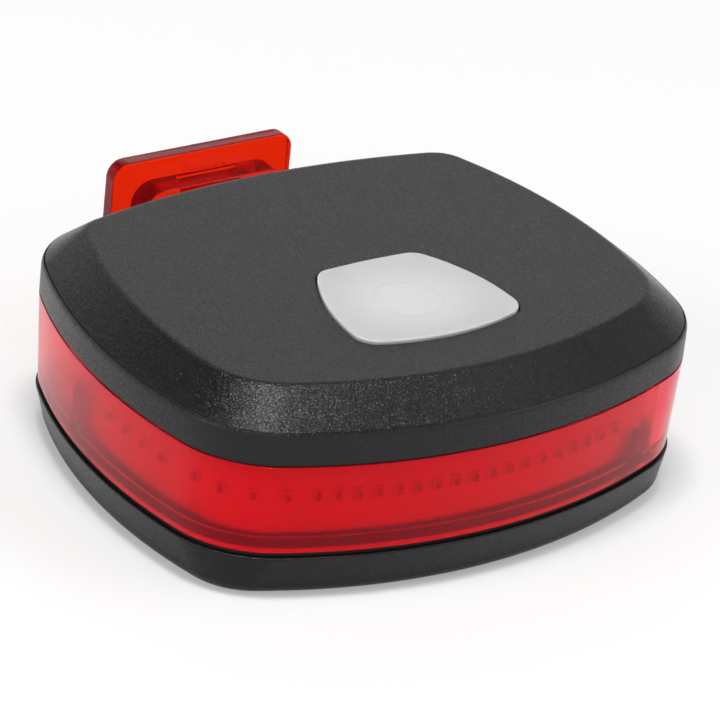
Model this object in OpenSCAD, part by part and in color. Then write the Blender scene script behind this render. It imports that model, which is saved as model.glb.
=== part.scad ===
// Bicycle rear light: a low rounded box with a red lens band between a black tray and a black cap,
// a milky push button on top and a T-shaped tongue on the back that slides into a bracket.
// Millimetres, Z up, origin in the middle of the underside, front toward -Y, tongue toward +Y.

/* [Body outline] */
// Width across the bowed flanks
body_w = 54; // [50:0.5:60]
// Depth from the bowed front to the bowed back
body_d = 46.8; // [44:0.2:52]
// Bow radius of the flanks
side_r = 50; // [46:1:80]
// Bow radius of the front
front_r = 52; // [45:1:80]
// Bow radius of the back
back_r = 58; // [48:1:80]
// Radius of the front corners seen from above
front_corner_r = 10.2; // [9.6:0.2:12]
// Radius of the back corners seen from above
back_corner_r = 8.4; // [8.2:0.2:10]
// How far the widest line lies toward the front
side_shift = 2; // [0.5:0.1:2.5]

/* [Levels] */
// Height of the black tray up to the middle of the lower seam
base_h = 4.45; // [4.2:0.05:6]
// Height of the red band between the two seam middles
lens_h = 8.95; // [8.4:0.05:12]
// Height of the upright wall of the cap
cap_wall_h = 3.1; // [2.4:0.1:5]
// Height of the sloped border of the cap
cap_slope_h = 2.8; // [2.2:0.1:3.4]
// Open shadow gap between tray and band
seam_low = 0.4; // [0.3:0.05:0.6]
// Open gap between band and cap
seam_high = 0.2; // [0.15:0.05:0.3]

/* [Tray] */
// Floor thickness
floor_t = 1.6; // [1.4:0.1:2]
// How far the wall leans in from the seam to the foot
base_draft = 0.6; // [0.4:0.1:1.2]
// Rounding of the lower edge
foot_r = 1.4; // [0.8:0.1:1.6]
// How far the tray wall lies inside the body outline
base_in = 0.25; // [0.1:0.05:0.4]
// Thickness of the locating rib behind the band
rib_t = 1; // [0.8:0.1:1.2]
// Height of the locating rib above the seam
rib_h = 1; // [0.8:0.1:1.6]
// Screw post radius
post_r = 2.6; // [2.5:0.05:2.8]
// Depth of the screw post axis inside the corner
post_in = 8; // [7.9:0.1:8.6]
// Height of the screw posts above the lower seam
post_h = 5; // [4:0.1:5.5]
// Height of the corner's strip stop above the locating rib
stop_corner_h = 2.8; // [1.5:0.1:2.9]
// Height of the flank's strip stop above the locating rib
stop_side_h = 3.8; // [1.5:0.1:4]

/* [Red band] */
// How far the lower edge lies inside the body outline
lens_draft = 0.45; // [0.2:0.05:0.6]
// Depth of the inner face inside the body outline
lens_in = 2.5; // [2.3:0.05:2.6]
// Thickness of the lip inside the cap
lip_t = 0.7; // [0.6:0.05:0.75]
// Height of the lip above the seam
lip_h = 1.3; // [0.8:0.1:1.6]

/* [Mounting tongue] */
// Width of the sliding plate
plate_w = 19.4; // [17:0.1:20]
// Height of the sliding plate
plate_h = 17.1; // [15:0.1:18]
// Thickness of the sliding plate
plate_t = 1.5; // [1.3:0.1:2]
// Corner radius of the sliding plate
plate_r = 1.6; // [1.5:0.1:4]
// Height of the plate's lower edge
plate_z = 1; // [0.5:0.1:1.5]
// Gap from the body's back to the plate
plate_gap = 3.6; // [3.4:0.1:5]
// Depth of the pad in front of the plate
pad_d = 2.5; // [2:0.1:2.8]
// Width of the pad
pad_w = 15.3; // [12:0.1:15.5]
// Height of the pad
pad_h = 13; // [11.5:0.1:13.4]
// Corner radius of the pad
pad_r = 2.2; // [1:0.1:3]
// Width of the root that joins pad and band
root_w = 11; // [8:0.1:12]
// Width of the click bump on the plate
bump_w = 3.6; // [2:0.1:5]
// Height of the click bump
bump_h = 0.6; // [0.4:0.1:1]
// How far the click bump stands out
bump_out = 0.35; // [0.2:0.05:0.5]
// Length of the relief slot in the pad's upper edge
relief_l = 6.6; // [4:0.1:8]
// Width of the relief slot
relief_w = 0.4; // [0.3:0.1:0.6]
// Depth of the relief slot
relief_d = 1.2; // [0.8:0.1:2]

/* [Cap] */
// Wall thickness
cap_t = 1.6; // [1.4:0.05:1.65]
// Top thickness
cover_t = 1.8; // [1.6:0.1:2]
// Set-back of the top face at the flanks
top_side_in = 3.76; // [3:0.1:4.5]
// Set-back of the top face at the front
top_front_in = 3.83; // [3:0.1:4.5]
// Set-back of the top face at the back
top_back_in = 4.74; // [4:0.1:5.4]
// Corner radius of the top face at the front
top_corner_front = 7.3; // [6:0.1:9]
// Corner radius of the top face at the back
top_corner_back = 2.6; // [2.4:0.1:5]
// Bow radius of the top face's flanks
top_side_r = 48; // [40:1:80]
// Bow radius of the top face's front
top_front_r = 47; // [40:1:80]
// Bow radius of the top face's back
top_back_r = 80; // [60:1:120]
// How far the top face's widest line lies toward the front
top_shift = 2.6; // [1:0.1:3.5]
// Softening of the edge between wall and slope
wall_edge = 0.5; // [0.3:0.1:1]
// Softening of the edge between slope and top
top_edge = 0.4; // [0.2:0.1:0.6]

/* [Button] */
// Widest part of the button
button_w = 17.4; // [15:0.1:18]
// Length of the button from front to back
button_d = 14.7; // [13:0.1:16]
// Bow radius of the button's flanks
button_side_r = 19.3; // [17:0.1:24]
// Bow radius of the button's front
button_front_r = 23; // [20:0.5:30]
// Bow radius of the button's back
button_back_r = 55; // [45:1:80]
// Corner radius of the button at the front
button_corner_front = 2.2; // [2:0.1:3]
// Corner radius of the button at the back
button_corner_back = 1.9; // [1.8:0.1:3]
// How far the button's widest line lies in front of its middle
button_shift = 3.85; // [3:0.05:4.5]
// Distance from the body's middle to the button's middle, toward the front
button_front = 6.95; // [6:0.05:8]
// Height of the crown above the cover
button_crown = 0.4; // [0.2:0.05:0.6]
// Gap around the button
button_gap = 0.3; // [0.25:0.05:0.4]
// Press travel
button_travel = 0.4; // [0.3:0.05:0.5]

/* [Charging port] */
// Distance from the flank to the port's middle
port_in = 12.2; // [11.5:0.1:13]
// Door length
port_l = 12.4; // [12:0.1:13]
// Door width
port_w = 6.4; // [6:0.1:7]
// Door thickness
door_t = 1; // [0.8:0.1:1.2]
// Gap around the door
door_gap = 0.3; // [0.25:0.05:0.4]
// Depth of the door's stub in the port
stub_h = 1; // [0.6:0.1:1]

/* [Electronics] */
// Circuit board thickness
board_t = 1; // [0.8:0.1:1.2]
// Cell length
cell_l = 27; // [22:0.5:28]
// Cell width
cell_w = 15.5; // [12:0.5:17]
// Cell thickness
cell_t = 6; // [4:0.5:6.5]
// Height of the flexible lamp strip
strip_h = 7; // [4:0.1:7]
// Lamps along the front
front_leds = 18; // [12:1:18]
// Lamp spacing along the front
front_pitch = 1.805; // [1.6:0.005:1.86]
// Lamps round the corner and along a flank
side_leds = 8; // [6:1:9]
// Lamp spacing round the corner and along a flank
side_pitch = 2.65; // [2.4:0.05:2.8]

/* [Hidden] */
$fn = 48;
// Turn of the outward normal from one outline point to the next, in degrees
turn = 3;
// Small overlap for cuts that run through a face
cut = 0.5;

// Levels
z_low = base_h - seam_low / 2;
z_lens_low = base_h + seam_low / 2;
z_lens_high = base_h + lens_h - seam_high / 2;
z_cap = base_h + lens_h + seam_high / 2;
z_wall = base_h + lens_h + cap_wall_h;
z_top = z_wall + cap_slope_h;
z_ceiling = z_top - cover_t;
z_post = base_h + post_h;

// Button stack, counted down from the ceiling
flange_gap = 0.05;
flange_t = 0.8;
flange_out = 1.4;
nub_h = 0.6;
nub_r = 1.6;
button_edge = 0.5;
nub_gap = 0.05;
stem_out = 0.8;
switch_h = 1.8;
switch_w = 6;
switch_floor = 0.3;
stem_r = 1.75;
stem_gap = 0.08;
stem_free = 0.2;
stem_lift = button_travel + stem_free;
z_flange = z_ceiling - flange_gap - flange_t;
z_stem = z_flange - nub_h - nub_gap;
z_switch = z_stem - stem_out;
z_board_top = z_switch - switch_h;
z_board = z_board_top - board_t;

// Cap draft and webs from the screw bosses to the wall
cap_draft = 0.1;
boss_in = 0.1;
web_t = 1;
web_h = 2.2;
web_in = 2.6;
frame_t = 0.9;

// Height left free above and below the root of the tongue
root_in = 1.8;

// Lamp ring, counted inward from the body outline
rib_gap = 0.15;
chip_in = 3.4;
chip_t = 0.5;
strip_in = chip_in + chip_t;
strip_t = 0.2;
carrier_in = strip_in + strip_t;
carrier_t = 1;
z_led = base_h + lens_h / 2;
board_gap = 0.4;
board_in = carrier_in + carrier_t + board_gap / 2;
carrier_rim = 0.6;
ledge_w = 1.5;
ledge_t = 1.2;

// Seals
seal_w = 1;
seal_in = 0.1;

// Case screws
screw_r = 1;
screw_head_r = 1.7;
screw_head_h = 1.3;
screw_seat = 2.2;
screw_bite = 5;
screw_gap = 0.15;
pilot_gap = 0.02;

// Board screws and their lugs on the carrier
lug_side = 16;
lug_in = 6.8;
lug_r = 2.1;
lug_h = 5;
board_screw_r = 0.85;
board_screw_head_r = 1.6;
board_screw_head_h = 1.1;
board_screw_bite = 3.5;

// Charging port
port_x = body_w / 2 - port_in;
port_hinge_y = port_l / 2 - door_t / 2;
port_rim = 1;
port_pad_h = 2.9;
door_lift = 0.12;
usb_l = 8.94;
usb_w = 3.26;
usb_wall = 0.3;
usb_gap = 0.3;
usb_tongue_l = 6.7;
usb_tongue_t = 0.7;
usb_tongue_in = 0.8;
usb_block_h = 3;
stub_free = 0.2;
z_usb = door_t + stub_h + stub_free;
stub_gap = 0.7;
peg_r = 0.42;
peg_gap = 0.08;
peg_out = 0.7;

// Cell, held between fences beside the port
tape_t = 0.5;
tape_in = 2;
cell_gap = 0.3;
cell_r = 1.2;
cell_x = port_x - port_w / 2 - port_rim - cell_gap - cell_l;
z_cell = floor_t + tape_t;
fence_t = 1;
fence_h = 2.4;
fence_in = 4;
fence_gap = 0.15;
lead_r = 0.5;
lead_bend = 1.9;
lead_y = 3;
lead_drop = 1.6;

// Pieces on the board
controller_w = 5;
controller_t = 0.9;
controller_x = -9;
controller_y = -8;
charger_w = 3;
charger_t = 0.8;
charger_x = 2;
charger_y = 9;
coil_r = 2.2;
coil_hole_r = 0.9;
coil_h = 2;
coil_x = -4;
coil_y = 11;
capacitor_l = 2;
capacitor_w = 1.25;
capacitor_h = 1.2;
capacitor_pitch = 3;
capacitor_x = -2.5;
capacitor_y = -10.5;
indicator_l = 1.6;
indicator_w = 0.8;
indicator_h = 0.7;
indicator_x = 4.6;
indicator_y = 4.2;

// Lamp chips and strip ends; bearings are seen from the body's middle
chip_w = 0.9;
chip_h = 1.2;
strip_end_side = 13;
strip_end_corner = -46.5;
strip_start_side = -28;
corner_leds = 4;
corner_step = 1.1;
stop_corner = 18;
stop_corner_w = 1.7;
stop_side = 44.1;
stop_side_w = 1.3;
stop_tip = 0.6;
tail_w = 5;

// Sub-part to draw

// Outline of four bowed sides and four corner arcs, all tangent.
// A form is [half width, front, back, shift, side r, front r, back r, front corner r, back corner r].
body_form = [body_w / 2, body_d / 2, body_d / 2, -side_shift, side_r, front_r, back_r, front_corner_r,
    back_corner_r];
top_form = [body_w / 2 - top_side_in, body_d / 2 - top_front_in, body_d / 2 - top_back_in, -top_shift,
    top_side_r, top_front_r, top_back_r, top_corner_front, top_corner_back];
button_form = [button_w / 2, button_d / 2, button_d / 2, -button_shift, button_side_r, button_front_r,
    button_back_r, button_corner_front, button_corner_back];

function bearing(v) = atan2(v[1], v[0]);
function on_circle(c, r, a) = c + r * [cos(a), sin(a)];

// Point at distance ra from a and rb from b, on the left of the line from a to b for side 1.
function meet(a, ra, b, rb, side) =
    let (d = norm(b - a), u = (b - a) / d, t = (ra * ra - rb * rb + d * d) / (2 * d))
    a + t * u + side * sqrt(ra * ra - t * t) * [-u[1], u[0]];

function side_centre(f) = [f[0] - f[4], f[3]];
function front_centre(f) = [0, f[5] - f[1]];
function back_centre(f) = [0, f[2] - f[6]];
function front_corner(f) = meet(side_centre(f), f[4] - f[7], front_centre(f), f[5] - f[7], -1);
function back_corner(f) = meet(side_centre(f), f[4] - f[8], back_centre(f), f[6] - f[8], 1);

// Outline point whose outward normal has bearing a, from -90 in front to 90 at the back.
function edge_point(f, inset, a) =
    let (
        pf = front_corner(f),
        pb = back_corner(f)
    )
    a < bearing(pf - front_centre(f)) ? on_circle(front_centre(f), f[5] - inset, a)
    : a < bearing(pf - side_centre(f)) ? on_circle(pf, f[7] - inset, a)
    : a < bearing(pb - side_centre(f)) ? on_circle(side_centre(f), f[4] - inset, a)
    : a < bearing(pb - back_centre(f)) ? on_circle(pb, f[8] - inset, a)
    : on_circle(back_centre(f), f[6] - inset, a);

function right_half(f, inset) = [for (a = [-90 : turn : 90]) edge_point(f, inset, a)];

function outline(f, inset = 0) =
    let (half = right_half(f, inset), n = len(half))
    concat(half, [for (i = [n - 2 : -1 : 1]) [-half[i][0], half[i][1]]]);

// Place on the body outline at arc length s from the middle of the front, as [x, y, outward bearing].
// The length is measured at the given inset, positive toward +X.
function along(s, inset) =
    let (
        pf = front_corner(body_form),
        af = bearing(pf - front_centre(body_form)),
        asf = bearing(pf - side_centre(body_form)),
        deg = 180 / PI,
        l1 = (front_r - inset) * (af + 90) / deg,
        l2 = l1 + (front_corner_r - inset) * (asf - af) / deg,
        t = abs(s),
        a = t < l1 ? -90 + t / (front_r - inset) * deg
            : t < l2 ? af + (t - l1) / (front_corner_r - inset) * deg
            : asf + (t - l2) / (side_r - inset) * deg,
        p = t < l1 ? on_circle(front_centre(body_form), front_r - inset, a)
            : t < l2 ? on_circle(pf, front_corner_r - inset, a)
            : on_circle(side_centre(body_form), side_r - inset, a)
    )
    s < 0 ? [-p[0], p[1], 180 - a] : [p[0], p[1], a];

// Screw post centres in the four corners
function post_at(sx, sy) =
    let (
        c = sy < 0 ? front_corner(body_form) : back_corner(body_form),
        r = sy < 0 ? front_corner_r : back_corner_r,
        p = on_circle(c, r - post_in, sy * 45)
    )
    [sx * p[0], p[1]];
posts = [for (sx = [-1, 1], sy = [-1, 1]) post_at(sx, sy)];

function lift(points, z) = [for (p = points) [p[0], p[1], z]];
function toward(a, b, reach) = a + (b - a) * reach / norm(b - a);

// Rings that round the edge at ring r1 between its neighbours r0 and r2.
function bend(r0, r1, r2, reach, steps = 4) =
    [for (k = [0 : steps])
        let (t = k / steps)
        [for (i = [0 : len(r1) - 1])
            (1 - t) * (1 - t) * toward(r1[i], r0[i], reach) + 2 * t * (1 - t) * r1[i]
            + t * t * toward(r1[i], r2[i], reach)]];

// Solid through a stack of rings with equal point counts, closed by flat ends.
module loft(rings) {
    n = len(rings[0]);
    m = len(rings);
    polyhedron(
        points = [for (r = rings, p = r) p],
        faces = concat(
            [[for (i = [0 : n - 1]) i]],
            [[for (i = [n - 1 : -1 : 0]) (m - 1) * n + i]],
            [for (k = [0 : m - 2], i = [0 : n - 1])
                [k * n + i, (k + 1) * n + i, (k + 1) * n + (i + 1) % n, k * n + (i + 1) % n]]
        ),
        convexity = 6
    );
}

// Upright ring of the body outline between two insets
module ring(outer, inner, z0, z1) {
    translate([0, 0, z0])
        linear_extrude(z1 - z0)
            difference() {
                polygon(outline(body_form, outer));
                polygon(outline(body_form, inner));
            }
}

module plate(inset, z0, z1) {
    translate([0, 0, z0])
        linear_extrude(z1 - z0)
            polygon(outline(body_form, inset));
}

module slot2d(l, w) {
    square([w, l - w], center = true);
    for (s = [-1, 1])
        translate([0, s * (l - w) / 2])
            circle(d = w);
}

// Port door seen from below: round at the free end, straight at the hinged end
module door2d(grow, past_hinge) {
    end = -port_l / 2 + port_w / 2;
    translate([0, end])
        circle(port_w / 2 + grow);
    translate([-port_w / 2 - grow, end])
        square([port_w + 2 * grow, port_hinge_y - end + past_hinge]);
}

module rounded2d(w, h, r) {
    square([w - 2 * r, h], center = true);
    square([w, h - 2 * r], center = true);
    for (sx = [-1, 1], sy = [-1, 1])
        translate([sx * (w / 2 - r), sy * (h / 2 - r)])
            circle(r);
}

module sector2d(a0, a1) {
    reach = body_w;
    polygon(concat([[0, 0]], [for (i = [0 : 8]) on_circle([0, 0], reach, a0 + (a1 - a0) * i / 8)]));
}

module at_posts() {
    for (p = posts)
        translate(p)
            children();
}

// Black tray

// Upright wedge on the locating rib that stops the end of a lamp strip
module strip_stop(s, high, wide, narrow) {
    place = along(s, lens_in + rib_gap);
    intersection() {
        ring(lens_in + rib_gap, lens_in + rib_gap + rib_t, z_low, z_low + rib_h + high);
        translate([place[0], place[1], z_low])
            rotate([0, 0, place[2] + 90])
                rotate([90, 0, 0])
                    linear_extrude(4 * rib_t, center = true)
                        polygon([
                            [0, 0],
                            [-wide, 0],
                            [-wide, rib_h],
                            [-narrow, rib_h + high],
                            [0, rib_h + high]
                        ]);
    }
}

module base() {
    inner = lens_in + rib_gap + rib_t;
    color([0.13, 0.13, 0.13])
    difference() {
        union() {
            difference() {
                union() {
                    loft(concat(
                        [for (k = [0 : 3]) lift(outline(body_form,
                            base_in + base_draft + foot_r * (1 - sin(30 * k))), foot_r * (1 - cos(30 * k)))],
                        [lift(outline(body_form, base_in), z_low)]
                    ));
                    ring(lens_in + rib_gap, inner, z_low - cut, z_low + rib_h);
                }
                plate(inner, floor_t, z_low + rib_h + cut);
            }
            strip_stop(stop_corner, stop_corner_h, stop_corner_w, stop_tip);
            strip_stop(-stop_side, stop_side_h, stop_side_w, stop_tip);
            at_posts()
                translate([0, 0, floor_t - cut])
                    cylinder(r = post_r, h = z_post - floor_t + cut);
            for (s = [-1, 1])
                translate([cell_x + cell_l / 2, s * (cell_w / 2 + fence_gap + fence_t / 2), floor_t - cut])
                    linear_extrude(fence_h + cut)
                        square([cell_l - 2 * fence_in, fence_t], center = true);
            translate([port_x, 0, floor_t - cut])
                linear_extrude(port_pad_h - floor_t + cut)
                    slot2d(port_l + 2 * port_rim, port_w + 2 * port_rim);
        }
        at_posts() {
            translate([0, 0, -cut])
                cylinder(r = screw_r + screw_gap, h = z_post + 2 * cut);
            translate([0, 0, -cut])
                cylinder(r = screw_head_r + screw_gap, h = screw_seat + cut);
        }
        translate([port_x, 0, -cut])
            linear_extrude(door_t + door_lift + cut)
                door2d(door_gap, door_t / 2 + door_gap);
        translate([port_x, 0, -cut])
            linear_extrude(port_pad_h + 2 * cut)
                slot2d(usb_l + 2 * usb_gap, usb_w + 2 * usb_gap);
        translate([port_x, port_hinge_y, door_t / 2])
            rotate([0, 90, 0])
                cylinder(r = peg_r + peg_gap, h = port_w + 2 * (peg_out + door_gap), center = true);
    }
}

// Red band with the mounting tongue

module tongue() {
    back = body_d / 2;
    y_plate = back + plate_gap;
    z_mid = plate_z + plate_h / 2;
    translate([0, y_plate + plate_t, z_mid])
        rotate([90, 0, 0])
            linear_extrude(plate_t)
                rounded2d(plate_w, plate_h, plate_r);
    difference() {
        translate([0, y_plate + plate_t / 2, z_mid])
            rotate([90, 0, 0])
                linear_extrude(pad_d + plate_t / 2)
                    rounded2d(pad_w, pad_h, pad_r);
        translate([-relief_l / 2, y_plate - 2 * relief_w, z_mid + pad_h / 2 - relief_d])
            cube([relief_l, relief_w, relief_d + cut]);
    }
    translate([-bump_w / 2, y_plate - bump_out, z_mid + pad_h / 2 + bump_h / 2])
        cube([bump_w, bump_out + plate_t / 2, bump_h]);
    translate([-root_w / 2, back - lens_in / 2, z_lens_low + root_in])
        cube([root_w, plate_gap - pad_d + lens_in / 2 + cut, z_lens_high - z_lens_low - 2 * root_in]);
}

module lens_ring() {
    color([0.8, 0.05, 0.05])
    union() {
        difference() {
            loft([
                lift(outline(body_form, lens_draft), z_lens_low),
                lift(outline(body_form), z_lens_high)
            ]);
            plate(lens_in, z_lens_low - cut, z_lens_high + cut);
        }
        ring(lens_in - lip_t, lens_in, z_lens_high - cut, z_lens_high + lip_h);
        tongue();
    }
}

// Black cap

function button_outline(inset) =
    [for (p = outline(button_form, inset)) [p[0], p[1] - button_front]];

module top_cover() {
    foot = lift(outline(body_form), z_cap);
    shoulder = lift(outline(body_form, cap_draft), z_wall);
    rim = lift(outline(top_form), z_top);
    color([0.16, 0.16, 0.16])
    difference() {
        union() {
            difference() {
                loft(concat(
                    [foot],
                    bend(foot, shoulder, rim, wall_edge),
                    bend(shoulder, rim, lift(outline(top_form, top_corner_back / 2), z_top), top_edge)
                ));
                loft([
                    lift(outline(body_form, cap_t), z_cap - cut),
                    lift(outline(body_form, cap_t + cap_draft), z_wall - cover_t / 3),
                    lift(outline(top_form, top_edge / 2), z_ceiling)
                ]);
            }
            for (p = posts)
                translate([p[0], p[1], z_ceiling - web_h])
                    rotate(bearing(p))
                        translate([0, -web_t / 2, 0])
                            cube([post_in - web_in, web_t, web_h + cut]);
            at_posts()
                translate([0, 0, z_post])
                    cylinder(r = post_r - boss_in, h = z_ceiling - z_post + cut);
            translate([0, 0, z_flange])
                linear_extrude(z_ceiling - z_flange + cut)
                    difference() {
                        polygon(button_outline(-flange_out - button_gap - frame_t));
                        polygon(button_outline(-flange_out - button_gap));
                    }
        }
        translate([0, 0, z_ceiling - cut])
            linear_extrude(cover_t + 2 * cut)
                polygon(button_outline(-button_gap));
        at_posts()
            translate([0, 0, z_post - cut])
                cylinder(r = screw_r + pilot_gap, h = screw_bite + 2 * cut);
    }
}

// Button and switch

module button_pad() {
    skirt = lift(button_outline(0), z_flange + flange_t / 2);
    edge = lift(button_outline(0), z_top + button_crown / 2);
    crown = lift(button_outline(button_corner_back - button_edge / 4), z_top + button_crown);
    color([0.85, 0.85, 0.84])
    union() {
        loft(concat(
            [skirt],
            bend(skirt, edge, crown, button_edge),
            [crown]
        ));
        translate([0, 0, z_flange])
            linear_extrude(flange_t)
                polygon(button_outline(-flange_out));
        translate([0, -button_front, z_flange - nub_h])
            cylinder(r = nub_r, h = nub_h + flange_t);
    }
}

module switch_body() {
    color([0.2, 0.2, 0.2])
    difference() {
        translate([-switch_w / 2, -switch_w / 2 - button_front, z_board_top])
            cube([switch_w, switch_w, switch_h]);
        translate([0, -button_front, z_board_top + switch_floor])
            cylinder(r = stem_r + stem_gap, h = switch_h);
    }
}

module switch_stem() {
    color([0.75, 0.75, 0.72])
    translate([0, -button_front, z_board_top + switch_floor + stem_lift])
        cylinder(r = stem_r, h = stem_out + switch_h - switch_floor - stem_lift);
}

// Circuit board and what is on it

module main_board() {
    lug = board_lug();
    color([0.1, 0.35, 0.2])
    translate([0, 0, z_board])
        linear_extrude(board_t)
            difference() {
                polygon(outline(body_form, board_in));
                for (p = posts)
                    translate(p)
                        rotate(bearing(p)) {
                            circle(post_r + board_gap);
                            translate([0, -post_r - board_gap])
                                square([post_in, 2 * (post_r + board_gap)]);
                        }
                for (s = [-1, 1])
                    translate([s * lug[0], lug[1]])
                        circle(board_screw_r + screw_gap);
            }
}

// Middle of the right board screw, at a set depth inside the bowed back
function board_lug() =
    let (x = body_w / 2 - lug_side, reach = back_r - lug_in)
    [x, back_centre(body_form)[1] + sqrt(reach * reach - x * x)];

module indicator_leds() {
    color([0.9, 0.9, 0.8])
    for (s = [-1, 1])
        translate([s * indicator_x - indicator_l / 2, -button_front - indicator_y, z_board_top])
            cube([indicator_l, indicator_w, indicator_h]);
}

module controller_chip() {
    color([0.1, 0.1, 0.1])
    translate([controller_x, controller_y, z_board - controller_t])
        cube([controller_w, controller_w, controller_t]);
}

module charger_chip() {
    color([0.1, 0.1, 0.1])
    translate([charger_x, charger_y, z_board - charger_t])
        cube([charger_w, charger_w, charger_t]);
}

module power_coil() {
    color([0.3, 0.3, 0.3])
    translate([coil_x, coil_y, z_board - coil_h])
        difference() {
            cylinder(r = coil_r, h = coil_h);
            translate([0, 0, -cut])
                cylinder(r = coil_hole_r, h = coil_h / 2 + cut);
        }
}

module capacitors() {
    color([0.7, 0.6, 0.45])
    for (i = [0 : 3])
        translate([capacitor_x + capacitor_pitch * i, capacitor_y, z_board - capacitor_h])
            cube([capacitor_l, capacitor_w, capacitor_h]);
}

module usb_shell() {
    color([0.75, 0.75, 0.77])
    translate([port_x, 0, z_usb])
        linear_extrude(z_board - z_usb)
            difference() {
                slot2d(usb_l, usb_w);
                slot2d(usb_l - 2 * usb_wall, usb_w - 2 * usb_wall);
            }
}

module usb_core() {
    color([0.12, 0.12, 0.12])
    translate([port_x, 0, 0]) {
        translate([-usb_tongue_t / 2, -usb_tongue_l / 2, z_usb + usb_tongue_in])
            cube([usb_tongue_t, usb_tongue_l, z_board - z_usb - usb_tongue_in]);
        translate([0, 0, z_board - usb_block_h])
            linear_extrude(usb_block_h)
                slot2d(usb_l - 2 * usb_wall - 2 * pilot_gap, usb_w - 2 * usb_wall - 2 * pilot_gap);
    }
}

module port_plug() {
    color([0.1, 0.1, 0.1])
    translate([port_x, 0, 0]) {
        linear_extrude(door_t)
            door2d(0, 0);
        translate([0, port_hinge_y, door_t / 2])
            rotate([0, 90, 0]) {
                cylinder(d = door_t, h = port_w, center = true);
                cylinder(r = peg_r, h = port_w + 2 * peg_out, center = true);
            }
        linear_extrude(door_t + stub_h)
            slot2d(usb_l - stub_gap, usb_w - stub_gap);
    }
}

// Lamp ring

module led_carrier() {
    lug = board_lug();
    inner = carrier_in + carrier_t;
    color([0.92, 0.92, 0.9])
    difference() {
        union() {
            ring(carrier_in, inner, floor_t, z_board + carrier_rim);
            difference() {
                ring(inner - carrier_t / 2, inner + ledge_w, z_board - ledge_t, z_board);
                at_posts()
                    translate([0, 0, z_board - ledge_t - cut])
                        cylinder(r = post_r + board_gap, h = ledge_t + 2 * cut);
            }
            for (s = [-1, 1])
                translate([s * lug[0], lug[1], z_board - lug_h])
                    cylinder(r = lug_r, h = lug_h);
        }
        for (s = [-1, 1])
            translate([s * lug[0], lug[1], z_board - lug_h + cut])
                cylinder(r = board_screw_r + pilot_gap, h = lug_h);
    }
}

// Flexible strip on the carrier between two bearings, with a tail over the carrier onto the board
module led_strip(a0, a1, side) {
    z0 = z_led - strip_h / 2;
    translate([0, 0, z0])
        linear_extrude(strip_h)
            intersection() {
                difference() {
                    polygon(outline(body_form, strip_in));
                    polygon(outline(body_form, carrier_in));
                }
                sector2d(a0, a1);
            }
    intersection() {
        union() {
            ring(strip_in, carrier_in, z0 + strip_h - cut, z_board_top + strip_t);
            ring(strip_in, board_in + tail_w / 2, z_board_top, z_board_top + strip_t);
        }
        translate([side * body_w / 2 - body_w / 4, -tail_w, 0])
            cube([body_w / 2, tail_w, z_top]);
    }
}

module led_strip_front() {
    color([0.95, 0.95, 0.93])
    led_strip(180 - strip_end_side, 360 + strip_end_corner, -1);
}

module led_strip_side() {
    color([0.95, 0.95, 0.93])
    led_strip(strip_start_side, strip_end_side, 1);
}

// Way along the strip from the end of the front row to a lamp; one step is longer past the corner
function side_place(i) = i * side_pitch + (i > corner_leds ? corner_step : 0);

module led_at(s) {
    place = along(s, strip_in);
    translate([place[0], place[1], z_led])
        rotate(place[2])
            translate([0, -chip_w / 2, -chip_h / 2])
                cube([chip_t, chip_w, chip_h]);
}

module led_chips() {
    edge = (front_leds - 1) / 2 * front_pitch;
    color([0.25, 0.05, 0.05]) {
        for (i = [0 : front_leds - 1])
            led_at(i * front_pitch - edge);
        for (i = [1 : side_leds])
            led_at(-edge - side_place(i));
        for (i = [corner_leds : side_leds])
            led_at(edge + side_place(i));
    }
}

// Cell

module battery() {
    color([0.7, 0.72, 0.75])
    translate([cell_x, 0, z_cell + cell_t / 2])
        rotate([90, 0, 90])
            linear_extrude(cell_l)
                rounded2d(cell_w, cell_t, cell_r);
}

module battery_tape() {
    color([0.25, 0.25, 0.25])
    translate([cell_x + tape_in, -cell_w / 2 + tape_in, floor_t])
        cube([cell_l - 2 * tape_in, cell_w - 2 * tape_in, tape_t]);
}

module cell_lead(y) {
    z = z_cell + cell_t - lead_drop;
    translate([cell_x + cell_l, y, z + lead_bend])
        rotate([90, 0, 0])
            rotate([0, 0, -90])
                rotate_extrude(angle = 90)
                    translate([lead_bend, 0])
                        circle(lead_r);
    translate([cell_x + cell_l + lead_bend, y, z + lead_bend])
        cylinder(r = lead_r, h = z_board - z - lead_bend);
}

module lead_red() {
    color([0.75, 0.1, 0.1])
    cell_lead(lead_y);
}

module lead_black() {
    color([0.08, 0.08, 0.08])
    cell_lead(-lead_y);
}

// Seals and screws

module cover_seal() {
    color([0.08, 0.08, 0.08])
    ring(cap_t - seal_in - seal_w, cap_t - seal_in, z_lens_high, z_cap);
}

module base_seal() {
    color([0.08, 0.08, 0.08])
    ring(lens_in - 2 * seal_in - seal_w, lens_in - 2 * seal_in, z_low, z_lens_low);
}

module screw(r, head_r, head_h, length) {
    difference() {
        union() {
            cylinder(r = r, h = length);
            translate([0, 0, -head_h])
                cylinder(r = head_r, h = head_h);
        }
        translate([0, 0, -head_h - cut])
            linear_extrude(head_h / 2 + cut)
                for (a = [0, 90])
                    rotate(a)
                        square([1.2 * head_r, 0.4 * r], center = true);
    }
}

module case_screws() {
    color([0.5, 0.5, 0.52])
    at_posts()
        translate([0, 0, screw_seat])
            screw(screw_r, screw_head_r, screw_head_h, z_post - screw_seat + screw_bite);
}

module board_screws() {
    lug = board_lug();
    color([0.5, 0.5, 0.52])
    for (s = [-1, 1])
        translate([s * lug[0], lug[1], z_board_top])
            mirror([0, 0, 1])
                screw(board_screw_r, board_screw_head_r, board_screw_head_h, board_t + board_screw_bite);
}

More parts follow.
